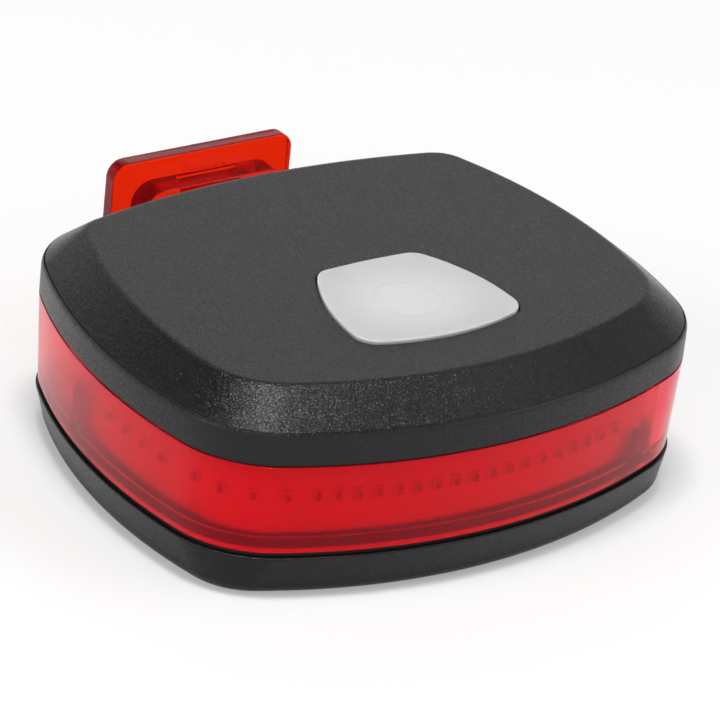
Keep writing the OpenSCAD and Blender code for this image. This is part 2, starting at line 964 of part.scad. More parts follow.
base();
lens_ring();
top_cover();
button_pad();
switch_body();
switch_stem();
main_board();
indicator_leds();
controller_chip();
charger_chip();
power_coil();
capacitors();
usb_shell();
usb_core();
port_plug();
led_carrier();
led_strip_front();
led_strip_side();
led_chips();
battery();
battery_tape();
lead_red();
lead_black();
cover_seal();
base_seal();
case_screws();
board_screws();
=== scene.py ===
import math
from typing import NamedTuple

import bmesh
import bpy
import numpy as np
from bpy.props import FloatProperty, FloatVectorProperty, IntProperty, PointerProperty
from bpy.types import Operator, Panel, PropertyGroup
from mathutils import Matrix, Vector


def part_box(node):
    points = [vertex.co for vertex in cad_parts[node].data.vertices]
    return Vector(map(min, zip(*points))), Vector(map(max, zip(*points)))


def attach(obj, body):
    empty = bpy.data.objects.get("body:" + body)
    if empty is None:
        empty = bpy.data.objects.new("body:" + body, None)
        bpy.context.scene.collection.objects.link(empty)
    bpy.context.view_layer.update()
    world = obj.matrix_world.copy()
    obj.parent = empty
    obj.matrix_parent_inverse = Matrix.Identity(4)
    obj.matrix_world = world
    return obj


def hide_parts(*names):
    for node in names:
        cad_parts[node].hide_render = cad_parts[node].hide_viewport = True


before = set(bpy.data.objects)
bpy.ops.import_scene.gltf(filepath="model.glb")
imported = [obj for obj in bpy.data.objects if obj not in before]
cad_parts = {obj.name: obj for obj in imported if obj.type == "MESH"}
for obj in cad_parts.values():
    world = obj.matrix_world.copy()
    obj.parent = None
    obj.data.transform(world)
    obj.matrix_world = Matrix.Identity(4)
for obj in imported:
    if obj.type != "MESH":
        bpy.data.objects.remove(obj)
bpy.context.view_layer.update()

bl_info = {
    "name": "Bicycle rear light",
    "version": (1, 0, 0),
    "blender": (4, 5, 0),
    "location": "View3D > Sidebar > Rear light",
    "description": "Builds the finished surfaces of a bicycle rear light around its solids",
    "category": "Object",
}

MM = 0.001

# Points round a body outline, and steps round an edge or a quarter turn
OUTLINE_POINTS = 360
EDGE_STEPS = 4
QUARTER_STEPS = 10
# Rings of the button's dish: down to its faint ring, across that ring and on to the middle
DISH_STEPS = 13
MARK_STEPS = 8
MIDDLE_STEPS = 6
# Sections of a strip stop: up its ramp and over its crown
RAMP_STEPS = 11
CROWN_STEPS = 5
# Edges that turn by more than this stay sharp
SHARP_ANGLE = math.radians(35)
# Softening of an edge that no one sees, and the flat between two half-round ends
HAIR = 0.01 * MM
MICRON = 0.001 * MM
# Camera: sensor width in millimetres, and the nearest distance that it shows
SENSOR_WIDTH = 36.0
NEAREST = 0.01


def low(node):
    """Low corner of a solid's box."""
    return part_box(node)[0]


def high(node):
    """High corner of a solid's box."""
    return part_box(node)[1]


# Properties: the sizes and colours that a user would change


def size(name, description, metres):
    """A length that is set in metres."""
    return FloatProperty(name=name, description=description, default=metres, unit="LENGTH", precision=5)


def colour(name, description, rgb):
    """A linear colour."""
    return FloatVectorProperty(
        name=name, description=description, default=rgb, subtype="COLOR", size=3, min=0.0, max=1.0
    )


def level(name, description, value):
    """A plain number of at least zero."""
    return FloatProperty(name=name, description=description, default=value, min=0.0, precision=4)


def turn(name, description, degrees):
    """An angle that is shown in degrees."""
    return FloatProperty(
        name=name, description=description, default=math.radians(degrees), subtype="ANGLE"
    )


def count(name, description, number, least):
    """A whole number."""
    return IntProperty(name=name, description=description, default=number, min=least)


class RearLightBody(PropertyGroup):
    half_width: size("Half width", "Half of the width across the bowed flanks", high("top_cover").x)
    front: size("Front", "Distance from the middle to the bowed front", -low("top_cover").y)
    back: size("Back", "Distance from the middle to the bowed back", high("top_cover").y)
    flank_bow: size("Flank bow", "Radius of the bowed flanks", 50 * MM)
    front_bow: size("Front bow", "Radius of the bowed front", 52 * MM)
    back_bow: size("Back bow", "Radius of the bowed back", 58 * MM)
    front_corner: size("Front corner", "Radius of the front corners seen from above", 10.2 * MM)
    back_corner: size("Back corner", "Radius of the back corners seen from above", 8.4 * MM)
    shift: size("Shift", "How far the widest line lies toward the front", 2 * MM)
    tray_top: size("Tray top", "Height of the tray's upper edge", low("base_seal").z)
    band_low: size("Band low", "Height of the red band's lower edge", high("base_seal").z)
    band_high: size("Band high", "Height of the red band's upper edge", low("cover_seal").z)
    cap_low: size("Cap low", "Height of the cap's lower edge", high("cover_seal").z)
    shoulder: size("Shoulder", "Height of the edge between cap wall and slope", 16.5 * MM)
    top: size("Top", "Height of the top face", high("top_cover").z)


class RearLightCap(PropertyGroup):
    wall: size("Wall", "Wall thickness", 1.6 * MM)
    cover: size("Cover", "Thickness of the top", 1.8 * MM)
    side_set_back: size("Side set-back", "Set-back of the top face at the flanks", 3.76 * MM)
    front_set_back: size("Front set-back", "Set-back of the top face at the front", 3.83 * MM)
    back_set_back: size("Back set-back", "Set-back of the top face at the back", 4.74 * MM)
    flank_bow: size("Flank bow", "Bow radius of the top face's flanks", 48 * MM)
    front_bow: size("Front bow", "Bow radius of the top face's front", 47 * MM)
    back_bow: size("Back bow", "Bow radius of the top face's back", 80 * MM)
    front_corner: size("Front corner", "Corner radius of the top face at the front", 7.3 * MM)
    back_corner: size("Back corner", "Corner radius of the top face at the back", 2.6 * MM)
    shift: size("Shift", "How far the top face's widest line lies toward the front", 2.6 * MM)
    line_in: size("Line inset", "Depth of the crease line inside the body outline", 0.2 * MM)
    line_drop: size("Line drop", "How far the crease line lies below the shoulder", 0.05 * MM)
    shoulder_drop: size("Shoulder drop", "Height of the rounding below the crease line", 0.7 * MM)
    crease: size("Crease", "Width of the fine crease at the foot of the slope", 0.2 * MM)
    crease_depth: size("Crease depth", "Depth of the fine crease", 0.16 * MM)
    top_edge: size("Top edge", "Softening of the edge between slope and top", 0.4 * MM)
    small_edge: size("Small edge", "Softening of the lower edge and of the button hole", 0.15 * MM)
    boss_radius: size("Boss radius", "Radius of the screw bosses", 2.5 * MM)
    pilot_radius: size("Pilot radius", "Radius of the pilot holes in the bosses", 1.02 * MM)
    pilot_depth: size("Pilot depth", "Depth of the pilot holes", 5.5 * MM)
    web: size("Web", "Thickness of the webs beside the bosses", 1 * MM)


class RearLightButton(PropertyGroup):
    half_width: size("Half width", "Half of the button's width", 8.44 * MM)
    half_depth: size("Half depth", "Half of the button's length from front to back", 7.17 * MM)
    forward: size("Forward", "Distance of the button's middle in front of the body's middle", 6.95 * MM)
    flank_bow: size("Flank bow", "Bow radius of the flanks", 19.3 * MM)
    front_bow: size("Front bow", "Bow radius of the front", 23 * MM)
    back_bow: size("Back bow", "Bow radius of the back", 55 * MM)
    front_corner: size("Front corner", "Corner radius at the front", 2.2 * MM)
    back_corner: size("Back corner", "Corner radius at the back", 1.9 * MM)
    shift: size("Shift", "How far the widest line lies in front of the middle", 3.85 * MM)
    gap: size("Gap", "Gap between button and cap", 0.12 * MM)
    rise: size("Rise", "Height of the button's rim above the cap", 0.26 * MM)
    dish: size("Dish", "Depth of the finger dish below the rim", 0.35 * MM)
    edge: size("Edge", "Softening of the rim", 0.14 * MM)
    flange: size("Flange", "Width of the flange under the cap", 1.4 * MM)
    flange_thickness: size("Flange thickness", "Thickness of the flange", 0.8 * MM)
    flange_gap: size("Flange gap", "Gap between the flange and the cap above it", 0.05 * MM)
    mark_radius: size("Mark radius", "Radius of the faint ring in the dish", 3.1 * MM)
    mark_width: size("Mark width", "Width of the faint ring", 0.5 * MM)
    mark_depth: size("Mark depth", "Depth of the faint ring", 0.04 * MM)
    mark_share: level("Mark share", "Share of the dish's depth that is reached at the faint ring", 0.85)
    nub_radius: size("Nub radius", "Radius of the nub that presses the switch", 1.6 * MM)


class RearLightBand(PropertyGroup):
    draft: size("Draft", "How far the lower edge lies inside the body outline", 0.45 * MM)
    wall: size("Wall", "Depth of the inner face inside the body outline", 2.5 * MM)
    lip: size("Lip", "Thickness of the lip inside the cap", 0.7 * MM)
    lip_rise: size("Lip rise", "Height of the lip above the band", 1.3 * MM)
    edge: size("Edge", "Softening of the band's edges", 0.14 * MM)
    rebate: size("Rebate", "Depth of the rebate along the inner lower edge", 0.35 * MM)
    rebate_rise: size("Rebate rise", "Height of the rebate", 0.7 * MM)
    # Painted shade: the seals reach this close to the seams' mouths, where their black stands in for the
    # seams' shade.
    seal_in: size("Seal inset", "Depth of the seals inside the seams", 0.15 * MM)
    seal_gap: size("Seal gap", "Hair's breadth of air between the lower seal and the band", 0.03 * MM)
    plate_width: size("Plate width", "Width of the sliding plate", 19.4 * MM)
    plate_corner: size("Plate corner", "Corner radius of the sliding plate", 1.6 * MM)
    plate_thickness: size("Plate thickness", "Thickness of the sliding plate", 1.5 * MM)
    plate_edge: size("Plate edge", "Softening of the plate's edges", 0.22 * MM)
    pad_width: size("Pad width", "Width of the pad in front of the plate", 15.3 * MM)
    pad_height: size("Pad height", "Height of the pad", 13 * MM)
    pad_depth: size("Pad depth", "Depth of the pad", 2.5 * MM)
    pad_corner: size("Pad corner", "Corner radius of the pad", 2.2 * MM)
    pad_edge: size("Pad edge", "Softening of the pad's front edge", 0.3 * MM)
    root_width: size("Root width", "Width of the root that joins pad and band", 11 * MM)
    root_in: size("Root inset", "Height left free above and below the root", 1.8 * MM)
    root_corner: size("Root corner", "Corner radius of the root", 0.6 * MM)
    root_edge: size("Root edge", "Softening of the root's buried ends", 0.1 * MM)
    bump_width: size("Bump width", "Width of the click bump", 3.8 * MM)
    bump_height: size("Bump height", "Height of the click bump", 0.85 * MM)
    bump_out: size("Bump out", "How far the click bump stands out", 0.6 * MM)
    relief_length: size("Relief length", "Length of the relief slot in the pad", 6.6 * MM)
    relief_width: size("Relief width", "Width of the relief slot", 0.4 * MM)
    relief_depth: size("Relief depth", "Depth of the relief slot", 1.2 * MM)
    relief_corner: size("Relief corner", "Corner radius of the relief slot", 0.15 * MM)
    relief_edge: size("Relief edge", "Softening of the relief slot's bottom", 0.05 * MM)


class RearLightTray(PropertyGroup):
    inset: size("Inset", "How far the wall lies inside the body outline", 0.25 * MM)
    draft: size("Draft", "How far the wall leans in from the seam to the foot", 0.8 * MM)
    foot_corner: size("Foot corner", "How much tighter the front corners are at the foot", 2.4 * MM)
    foot: size("Foot", "Rounding of the lower edge", 1.4 * MM)
    edge: size("Edge", "Softening of the upper edge", 0.2 * MM)
    floor: size("Floor", "Floor thickness", 1.6 * MM)
    rib_gap: size("Rib gap", "Gap between band and locating rib", 0.15 * MM)
    rib: size("Rib", "Thickness of the locating rib", 1 * MM)
    rib_rise: size("Rib rise", "Height of the locating rib above the seam", 1.2 * MM)
    rib_lead: size("Rib lead-in", "How much lower the rib's outer edge is than its inner edge", 0.8 * MM)
    corner_stop: size("Corner stop", "Height of the corner's strip stop above the rib", 2.4 * MM)
    side_stop: size("Side stop", "Height of the flank's strip stop above the rib", 3.8 * MM)
    corner_stop_end: size("Corner stop end", "Length along the front to the corner's stop", 19.3 * MM)
    side_stop_end: size("Side stop end", "Length along front and flank to the flank's stop", 44.1 * MM)
    corner_stop_length: size("Corner stop length", "Length of the corner's strip stop", 1.6 * MM)
    side_stop_length: size("Side stop length", "Length of the flank's strip stop", 1.1 * MM)
    stop_crown: size("Stop crown", "Length of a stop's rounded crown", 0.6 * MM)
    stop_fall: size("Stop fall", "How far a stop's crown falls", 0.35 * MM)
    post_radius: size("Post radius", "Radius of the screw posts", 2.6 * MM)
    post_in: size("Post inset", "Depth of the post axis inside the corner", 8 * MM)
    post_top: size("Post top", "Height of the post tops", 9.45 * MM)
    post_edge: size("Post edge", "Chamfer of the post tops", 0.15 * MM)
    screw_hole: size("Screw hole", "Radius of the clearance hole", 1.15 * MM)
    screw_recess: size("Screw recess", "Radius of the counterbore", 1.85 * MM)
    screw_seat: size("Screw seat", "Depth of the counterbore", 2.2 * MM)
    hole_edge: size("Hole edge", "Chamfer of the counterbore's mouth", 0.2 * MM)


class RearLightDoor(PropertyGroup):
    thickness: size("Thickness", "Thickness of the door and of its hinge barrel", 1 * MM)
    edge: size("Edge", "Softening of the door's lower edge", 0.15 * MM)
    gap: size("Gap", "Gap round the door", 0.3 * MM)
    recess: size("Recess", "Depth of the door's recess in the tray", 1.12 * MM)
    peg_length: size("Peg length", "How far a hinge peg stands out of the barrel", 0.7 * MM)
    peg_radius: size("Peg radius", "Radius of the hinge pegs", 0.42 * MM)
    stub_width: size("Stub width", "Width of the stub in the socket's mouth", 2.56 * MM)
    stub_length: size("Stub length", "Length of the stub", 8.24 * MM)
    stub_edge: size("Stub edge", "Softening of the stub's end", 0.2 * MM)
    socket_gap: size("Socket gap", "Gap round the socket in the tray's floor", 0.3 * MM)


class RearLightLamps(PropertyGroup):
    strip_in: size("Strip inset", "Depth of the strip's face inside the body outline", 3.9 * MM)
    strip: size("Strip", "Thickness of the lamp strip", 0.2 * MM)
    carrier: size("Carrier", "Thickness of the carrier wall", 1 * MM)
    ledge: size("Ledge", "Width of the ledge under the board", 1.5 * MM)
    ledge_height: size("Ledge height", "Height of the ledge", 1.2 * MM)
    carrier_edge: size("Carrier edge", "Softening of the carrier's edges", 0.15 * MM)
    lug_radius: size("Lug radius", "Radius of the lugs under the board", 2.1 * MM)
    lug_height: size("Lug height", "Height of the lugs", 5 * MM)
    screw_head: size("Screw head", "Radius of the board screws' heads", 1.6 * MM)
    front_start: turn("Front start", "Bearing at which the front strip starts", 167)
    front_end: turn("Front end", "Bearing at which the front strip ends", 313.5)
    side_start: turn("Side start", "Bearing at which the side strip starts", -28)
    side_end: turn("Side end", "Bearing at which the side strip ends", 13)
    tail: size("Tail", "Width of the strip's tail", 5 * MM)
    fold: size("Fold", "Length of the tail's fold over the carrier", 3.8 * MM)
    strip_height: size("Strip height", "Height of the lamp strip", 7 * MM)
    chip_width: size("Chip width", "Width of a lamp chip", 0.9 * MM)
    chip_height: size("Chip height", "Height of a lamp chip", 1.2 * MM)
    chip_out: size("Chip out", "How far a lamp chip stands out", 0.5 * MM)
    chip_corner: size("Chip corner", "Corner radius of a lamp chip", 0.08 * MM)
    chip_edge: size("Chip edge", "Softening of a lamp chip's edges", 0.05 * MM)
    base_height: size("Base height", "Height of a lamp chip's white base", 0.3 * MM)
    window_height: size("Window height", "Height of a lamp chip's dark window", 0.78 * MM)
    window_width: size("Window width", "Width of a lamp chip's dark window", 0.5 * MM)
    window_corner: size("Window corner", "Corner radius of the window", 0.2 * MM)
    window_edge: size("Window edge", "Softening of the window's edges", 0.12 * MM)
    window_sunk: size("Window sunk", "How far the window is sunk in the base", 0.02 * MM)
    front_pitch: size("Front pitch", "Lamp spacing along the front", 1.805 * MM)
    side_pitch: size("Side pitch", "Lamp spacing round the corner and along a flank", 2.65 * MM)
    corner_step: size("Corner step", "Extra length of the one longer step past the corner", 1.1 * MM)
    front_count: count("Front lamps", "Lamps along the front", 18, 2)
    side_count: count("Side lamps", "Lamps along a flank", 8, 1)
    corner_count: count("Corner lamps", "Lamps before the longer step", 4, 1)


class RearLightColours(PropertyGroup):
    black: colour("Black", "Moulded black of cap and tray", (0.004, 0.004, 0.0041))
    red: colour("Red", "Clear red of the band", (0.96, 0.032, 0.07))
    tongue: colour("Tongue", "Clear red of the tongue", (0.8, 0.022, 0.003))
    # Painted shade for the tongue's faces that turn up, down or sideways.
    tongue_edge_shade: colour("Tongue edge", "Deep red of the tongue's edges", (0.52, 0.018, 0.02))
    milk: colour("Milk", "Milky white of the button", (0.53, 0.53, 0.53))
    white: colour("White", "White of carrier and strips", (0.72, 0.72, 0.71))
    chip: colour("Chip", "Dark resin of the lamps", (0.36, 0.05, 0.045))
    epoxy: colour("Epoxy", "Black epoxy of the chips", (0.02, 0.02, 0.021))
    rubber: colour("Rubber", "Black rubber of door, tape and seals", (0.006, 0.006, 0.006))
    board: colour("Board", "Green solder mask", (0.015, 0.14, 0.05))
    ceramic: colour("Ceramic", "Brown ceramic of the capacitors", (0.36, 0.25, 0.14))
    steel: colour("Steel", "Plated steel", (0.62, 0.62, 0.63))
    foil: colour("Foil", "Aluminium foil of the cell", (0.62, 0.64, 0.67))
    red_wire: colour("Red wire", "Red insulation", (0.45, 0.02, 0.02))
    black_wire: colour("Black wire", "Black insulation", (0.02, 0.02, 0.02))


class RearLightStage(PropertyGroup):
    azimuth: turn("Azimuth", "Bearing of the camera", -36.03)
    elevation: turn("Elevation", "Height angle of the camera", 28.21)
    roll: turn("Roll", "Turn of the camera about its own axis", 6.305)
    distance: size("Distance", "Distance from the camera to its target", 452.6 * MM)
    target_height: size("Target height", "Height of the camera's target", 9.665 * MM)
    focal_length: level("Focal length", "Lens in millimetres on a 36 mm sensor", 253.56)
    shift_x: FloatProperty(name="Shift X", description="Sideways shift of the frame", default=0.0067)
    shift_y: FloatProperty(name="Shift Y", description="Upward shift of the frame", default=-0.0008)
    floor_size: size("Floor size", "Width of the floor", 6.0)
    floor_drop: size("Floor drop", "Space between the light and the floor", 0.02 * MM)
    floor: level("Floor", "Brightness of the floor's surface", 0.58)
    lift: level("Lift", "Brightness that the floor adds in view", 0.26)
    backdrop: level("Backdrop", "Brightness of the surroundings near the horizon", 1.0)
    ceiling: level("Ceiling", "Brightness of the surroundings overhead", 0.07)
    horizon: level("Horizon", "Rise of a direction up to which the surroundings are bright", 0.26)
    zenith: level("Zenith", "Rise of a direction from which the surroundings are dim", 0.72)
    overhead: level("Overhead", "Power of the small lamp overhead in watts", 2.6)
    behind: level("Behind", "Power of the wide lamp behind in watts", 1.1)
    fill: level("Fill", "Power of the wide lamp in front in watts", 1.2)
    left: level("Left", "Power of the lamp on the left in watts", 2.2)
    right: level("Right", "Power of the lamp on the right in watts", 1.3)
    slope: level("Slope", "Power of the lamp above the front in watts", 1.0)


# Outlines: four bowed sides and four corner arcs, all tangent


class Form(NamedTuple):
    half_width: float
    front: float
    back: float
    shift: float
    side_bow: float
    front_bow: float
    back_bow: float
    front_corner: float
    back_corner: float


def bearing(vector):
    return math.atan2(vector[1], vector[0])


def directions(bearings):
    """Unit vectors at the given bearings."""
    return np.stack([np.cos(bearings), np.sin(bearings)], axis=1)


def meeting(a, reach_a, b, reach_b, side):
    """Point at reach_a from a and reach_b from b, left of the line from a to b for side 1."""
    apart = np.linalg.norm(b - a)
    along = (b - a) / apart
    forward = (reach_a**2 - reach_b**2 + apart**2) / (2 * apart)
    across = side * math.sqrt(reach_a**2 - forward**2)
    return a + forward * along + across * np.array([-along[1], along[0]])


def corner_centre(form, at_front):
    """Middle of the front or back corner arc on the right."""
    side = np.array([form.half_width - form.side_bow, form.shift])
    if at_front:
        bow = np.array([0.0, form.front_bow - form.front])
        reach = form.front_corner
        return meeting(side, form.side_bow - reach, bow, form.front_bow - reach, -1)
    bow = np.array([0.0, form.back - form.back_bow])
    reach = form.back_corner
    return meeting(side, form.side_bow - reach, bow, form.back_bow - reach, 1)


def outline(form, inset=0.0):
    """Points round the form, one for each bearing of the outward normal, from the middle of the front."""
    side = np.array([form.half_width - form.side_bow, form.shift])
    front = np.array([0.0, form.front_bow - form.front])
    back = np.array([0.0, form.back - form.back_bow])
    front_corner = corner_centre(form, True)
    back_corner = corner_centre(form, False)
    changes = [
        bearing(front_corner - front),
        bearing(front_corner - side),
        bearing(back_corner - side),
        bearing(back_corner - back),
    ]
    bearings = np.linspace(-math.pi / 2, math.pi / 2, OUTLINE_POINTS // 2 + 1)
    arc = np.searchsorted(changes, bearings)
    centres = np.array([front, front_corner, side, back_corner, back])[arc]
    reaches = [form.front_bow, form.front_corner, form.side_bow, form.back_corner, form.back_bow]
    radii = np.array(reaches)[arc] - inset
    half = centres + radii[:, None] * directions(bearings)
    return np.concatenate([half, half[-2:0:-1] * (-1, 1)])


def form_of(settings, half_width, front, back):
    """A form with the bows, corners and shift of its settings."""
    return Form(
        half_width,
        front,
        back,
        -settings.shift,
        settings.flank_bow,
        settings.front_bow,
        settings.back_bow,
        settings.front_corner,
        settings.back_corner,
    )


def body_form(body):
    return form_of(body, body.half_width, body.front, body.back)


def top_form(body, cap):
    return form_of(
        cap,
        body.half_width - cap.side_set_back,
        body.front - cap.front_set_back,
        body.back - cap.back_set_back,
    )


def button_form(button):
    return form_of(button, button.half_width, button.half_depth, button.half_depth)


def lift(points, height):
    """An outline as a ring at one height."""
    return np.column_stack([points, np.full(len(points), height)])


def rings_of(form, profile):
    """Rings of a form from a list of inset and height."""
    return [lift(outline(form, inset), height) for inset, height in profile]


def button_ring(button, inset, height):
    return lift(outline(button_form(button), inset) - (0.0, button.forward), height)


def toward(a, b, reach):
    """Points at a reach from a on the way to b."""
    step = b - a
    return a + step * reach / np.linalg.norm(step, axis=1)[:, None]


def arch(start, crown, end, steps):
    """Rings on a curve from start to end that is drawn toward the crown."""
    shares = np.linspace(0.0, 1.0, steps + 1)
    return [(1 - t) ** 2 * start + 2 * t * (1 - t) * crown + t**2 * end for t in shares]


def bend(before, edge, after, reach, steps=EDGE_STEPS):
    """Rings that round the edge between two neighbouring rings."""
    return arch(toward(edge, before, reach), edge, toward(edge, after, reach), steps)


def shoulder_rings(cap, wall, line, rim):
    """Rings over the shoulder: the wall rounds inward to a fine crease line, where the slope begins."""
    slope = rim - line
    across = np.linalg.norm(slope[:, :2], axis=1)[:, None]
    carried = line - slope * cap.line_in / across
    groove = toward(line, rim, cap.crease / 2) - (0, 0, cap.crease_depth)
    return arch(wall, carried, line, 3 * EDGE_STEPS) + [groove, toward(line, rim, cap.crease)]


def soften(rings, reaches, steps=EDGE_STEPS):
    """A closed run of rings with each edge rounded by its own reach; reach 0 keeps the edge."""
    made = []
    for i, reach in enumerate(reaches):
        if reach:
            after = rings[(i + 1) % len(rings)]
            made += bend(rings[i - 1], rings[i], after, reach, steps)
        else:
            made.append(rings[i])
    return made


def arc_length_place(form, inset, length):
    """Place and outward bearing on the body outline, at a length from the middle of the front."""
    points = outline(form, inset)
    run = points[: OUTLINE_POINTS // 2 + 1]
    steps = np.linalg.norm(np.diff(run, axis=0), axis=1)
    lengths = np.concatenate([[0.0], np.cumsum(steps)])
    bearings = np.linspace(-math.pi / 2, math.pi / 2, len(run))
    x, y, angle = (np.interp(abs(length), lengths, v) for v in (run[:, 0], run[:, 1], bearings))
    return (x, y, angle) if length >= 0 else (-x, y, math.pi - angle)


def post_places(body, tray):
    """Screw post middles in the four corners."""
    form = body_form(body)
    places = []
    for at_front in (True, False):
        corner = body.front_corner if at_front else body.back_corner
        diagonal = (corner - tray.post_in) * math.sqrt(0.5)
        x, y = corner_centre(form, at_front) + (diagonal, -diagonal if at_front else diagonal)
        places += [(x, y), (-x, y)]
    return places


# Meshes


def link(name, data):
    """A new object in the scene."""
    made = bpy.data.objects.new(name, data)
    bpy.context.scene.collection.objects.link(made)
    return made


def new_object(name, points, faces):
    """A mesh object with its faces turned outward."""
    mesh = bpy.data.meshes.new(name)
    mesh.from_pydata([tuple(p) for p in points], [], faces)
    shape = bmesh.new()
    shape.from_mesh(mesh)
    bmesh.ops.recalc_face_normals(shape, faces=shape.faces)
    shape.to_mesh(mesh)
    shape.free()
    return link(name, mesh)


def join(name, pieces):
    """Joins several meshes into one object."""
    shape = bmesh.new()
    for piece in pieces:
        shape.from_mesh(piece.data)
        bpy.data.objects.remove(piece)
    mesh = bpy.data.meshes.new(name)
    shape.to_mesh(mesh)
    shape.free()
    return link(name, mesh)


def skin(name, rings, closed=False):
    """Quads between neighbouring rings; an open run gets flat ends, a closed one joins up."""
    count = len(rings[0])
    faces = []
    for k in range(len(rings) if closed else len(rings) - 1):
        a = k * count
        b = (k + 1) % len(rings) * count
        faces += [(a + i, a + (i + 1) % count, b + (i + 1) % count, b + i) for i in range(count)]
    if not closed:
        last = (len(rings) - 1) * count
        faces.append(tuple(range(count)))
        faces.append(tuple(range(last, last + count)))
    return new_object(name, np.concatenate(rings), faces)


def combine(piece, others, operation):
    """Adds the other solids to the piece, or cuts them from it, and removes them."""
    for other in others:
        step = piece.modifiers.new(operation.title(), "BOOLEAN")
        step.operation = operation
        step.solver = "MANIFOLD"
        step.object = other
        graph = bpy.context.evaluated_depsgraph_get()
        made = bpy.data.meshes.new_from_object(piece.evaluated_get(graph))
        piece.modifiers.clear()
        spare = piece.data
        piece.data = made
        made.name = piece.name
        bpy.data.meshes.remove(spare)
        bpy.data.objects.remove(other)
    return piece


def smooth(piece):
    """Smooth shading that keeps sharp edges and flat faces."""
    shape = bmesh.new()
    shape.from_mesh(piece.data)
    for face in shape.faces:
        face.smooth = True
    for edge in shape.edges:
        edge.smooth = len(edge.link_faces) == 2 and edge.calc_face_angle(0.0) < SHARP_ANGLE
    shape.to_mesh(piece.data)
    shape.free()
    weigh = piece.modifiers.new("Flat faces", "WEIGHTED_NORMAL")
    weigh.keep_sharp = True
    return piece


def dress(piece, material, body, slot, *nodes):
    """Finishes a piece: shading, material, the body that it rides on and the nodes that it stands for."""
    smooth(piece)
    piece.data.materials.clear()
    piece.data.materials.append(material)
    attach(piece, body)
    if nodes:
        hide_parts(*nodes)
    return piece


def rounded_rectangle(width, height, corner, inset=0.0):
    """Points round a rectangle with round corners."""
    points = []
    for quarter, (sx, sy) in enumerate([(1, -1), (1, 1), (-1, 1), (-1, -1)]):
        bearings = np.linspace(0, math.pi / 2, QUARTER_STEPS + 1) + (quarter - 1) * math.pi / 2
        centre = np.array([sx * (width / 2 - corner), sy * (height / 2 - corner)])
        points.append(centre + (corner - inset) * directions(bearings))
    return np.concatenate(points)


def rounded_block(name, rectangle, edges, ends):
    """A block along Z with a rounded rectangle as its section, and with rounded edges at both ends."""
    angles = np.linspace(0, math.pi / 2, EDGE_STEPS + 1)

    def ring(edge, end, inward, angle):
        section = rounded_rectangle(*rectangle, inset=edge * (1 - math.sin(angle)))
        return lift(section, end + inward * edge * (1 - math.cos(angle)))

    rings = [ring(edges[0], ends[0], 1, angle) for angle in angles]
    rings += [ring(edges[1], ends[1], -1, angle) for angle in angles[::-1]]
    return skin(name, rings)


def place(piece, matrix):
    """Moves the points of a piece and leaves its object at the origin."""
    piece.data.transform(matrix)
    return piece


def lathe(name, profile, steps=48):
    """A solid turned about Z from a list of radius and height, from bottom to top."""
    circle = directions(np.linspace(0, 2 * math.pi, steps, endpoint=False))
    return skin(name, [lift(circle * radius, height) for radius, height in profile])


def at(x, y, z):
    return Matrix.Translation((x, y, z))


def at_posts(name, profile, body, tray):
    """The same turned solid at each screw post."""
    return [place(lathe(name, profile), at(x, y, 0)) for x, y in post_places(body, tray)]


# Turns of a block that is made along Z
FACING_FRONT = Matrix.Rotation(math.radians(90), 4, "X")
FACING_RIGHT = Matrix.Rotation(math.radians(90), 4, "Y")


# Shader groups: effects over the surface


def add(tree, kind, values=None, **settings):
    """A shader node with its settings, and with constants or links on its inputs."""
    made = tree.nodes.new(kind)
    for key, value in settings.items():
        setattr(made, key, value)
    for key, value in (values or {}).items():
        socket = made.inputs[key]
        if isinstance(value, bpy.types.NodeSocket):
            tree.links.new(value, socket)
        else:
            socket.default_value = value
    return made


def number(tree, operation, *values):
    """Result of a sum of constants and links."""
    return add(tree, "ShaderNodeMath", dict(enumerate(values)), operation=operation).outputs[0]


def arrow(tree, operation, *values):
    """Result of a sum of vectors."""
    made = add(tree, "ShaderNodeVectorMath", dict(enumerate(values)), operation=operation)
    return made.outputs["Vector"]


def scaled(tree, vector, share):
    """A vector or colour times a number."""
    made = add(tree, "ShaderNodeVectorMath", {0: vector, "Scale": share}, operation="SCALE")
    return made.outputs["Vector"]


def blend(tree, share, first, second):
    """A colour between two others."""
    made = add(tree, "ShaderNodeMix", {0: share, 6: first, 7: second}, data_type="RGBA")
    return made.outputs[2]


def ramp(tree, value, start, end, first=0.0, last=1.0, **settings):
    """A number that goes from first to last while the value goes from start to end."""
    values = {"Value": value, "From Min": start, "From Max": end, "To Min": first, "To Max": last}
    return add(tree, "ShaderNodeMapRange", values, **settings).outputs["Result"]


def parts_of(tree, vector):
    """The three parts of a vector."""
    return add(tree, "ShaderNodeSeparateXYZ", {"Vector": vector}).outputs


def spot(tree):
    """Place on the piece."""
    return add(tree, "ShaderNodeTexCoord").outputs["Object"]


def normal(tree):
    """Direction that the surface faces."""
    return add(tree, "ShaderNodeNewGeometry").outputs["Normal"]


def clouds(tree, scale, detail):
    """Soft noise from 0 to 1."""
    values = {"Vector": spot(tree), "Scale": scale, "Detail": detail}
    return add(tree, "ShaderNodeTexNoise", values).outputs["Fac"]


def group(name, inputs, outputs):
    """A new shader group with named sockets; returns its tree, what it is given and what it puts out."""
    tree = bpy.data.node_groups.new(name, "ShaderNodeTree")
    for label, kind, default in inputs:
        socket = tree.interface.new_socket(label, in_out="INPUT", socket_type=kind)
        socket.default_value = default
    for label, kind in outputs:
        tree.interface.new_socket(label, in_out="OUTPUT", socket_type=kind)
    return tree, tree.nodes.new("NodeGroupInput").outputs, tree.nodes.new("NodeGroupOutput").inputs


def use_group(tree, name, values):
    return add(tree, "ShaderNodeGroup", values, node_tree=bpy.data.node_groups[name])


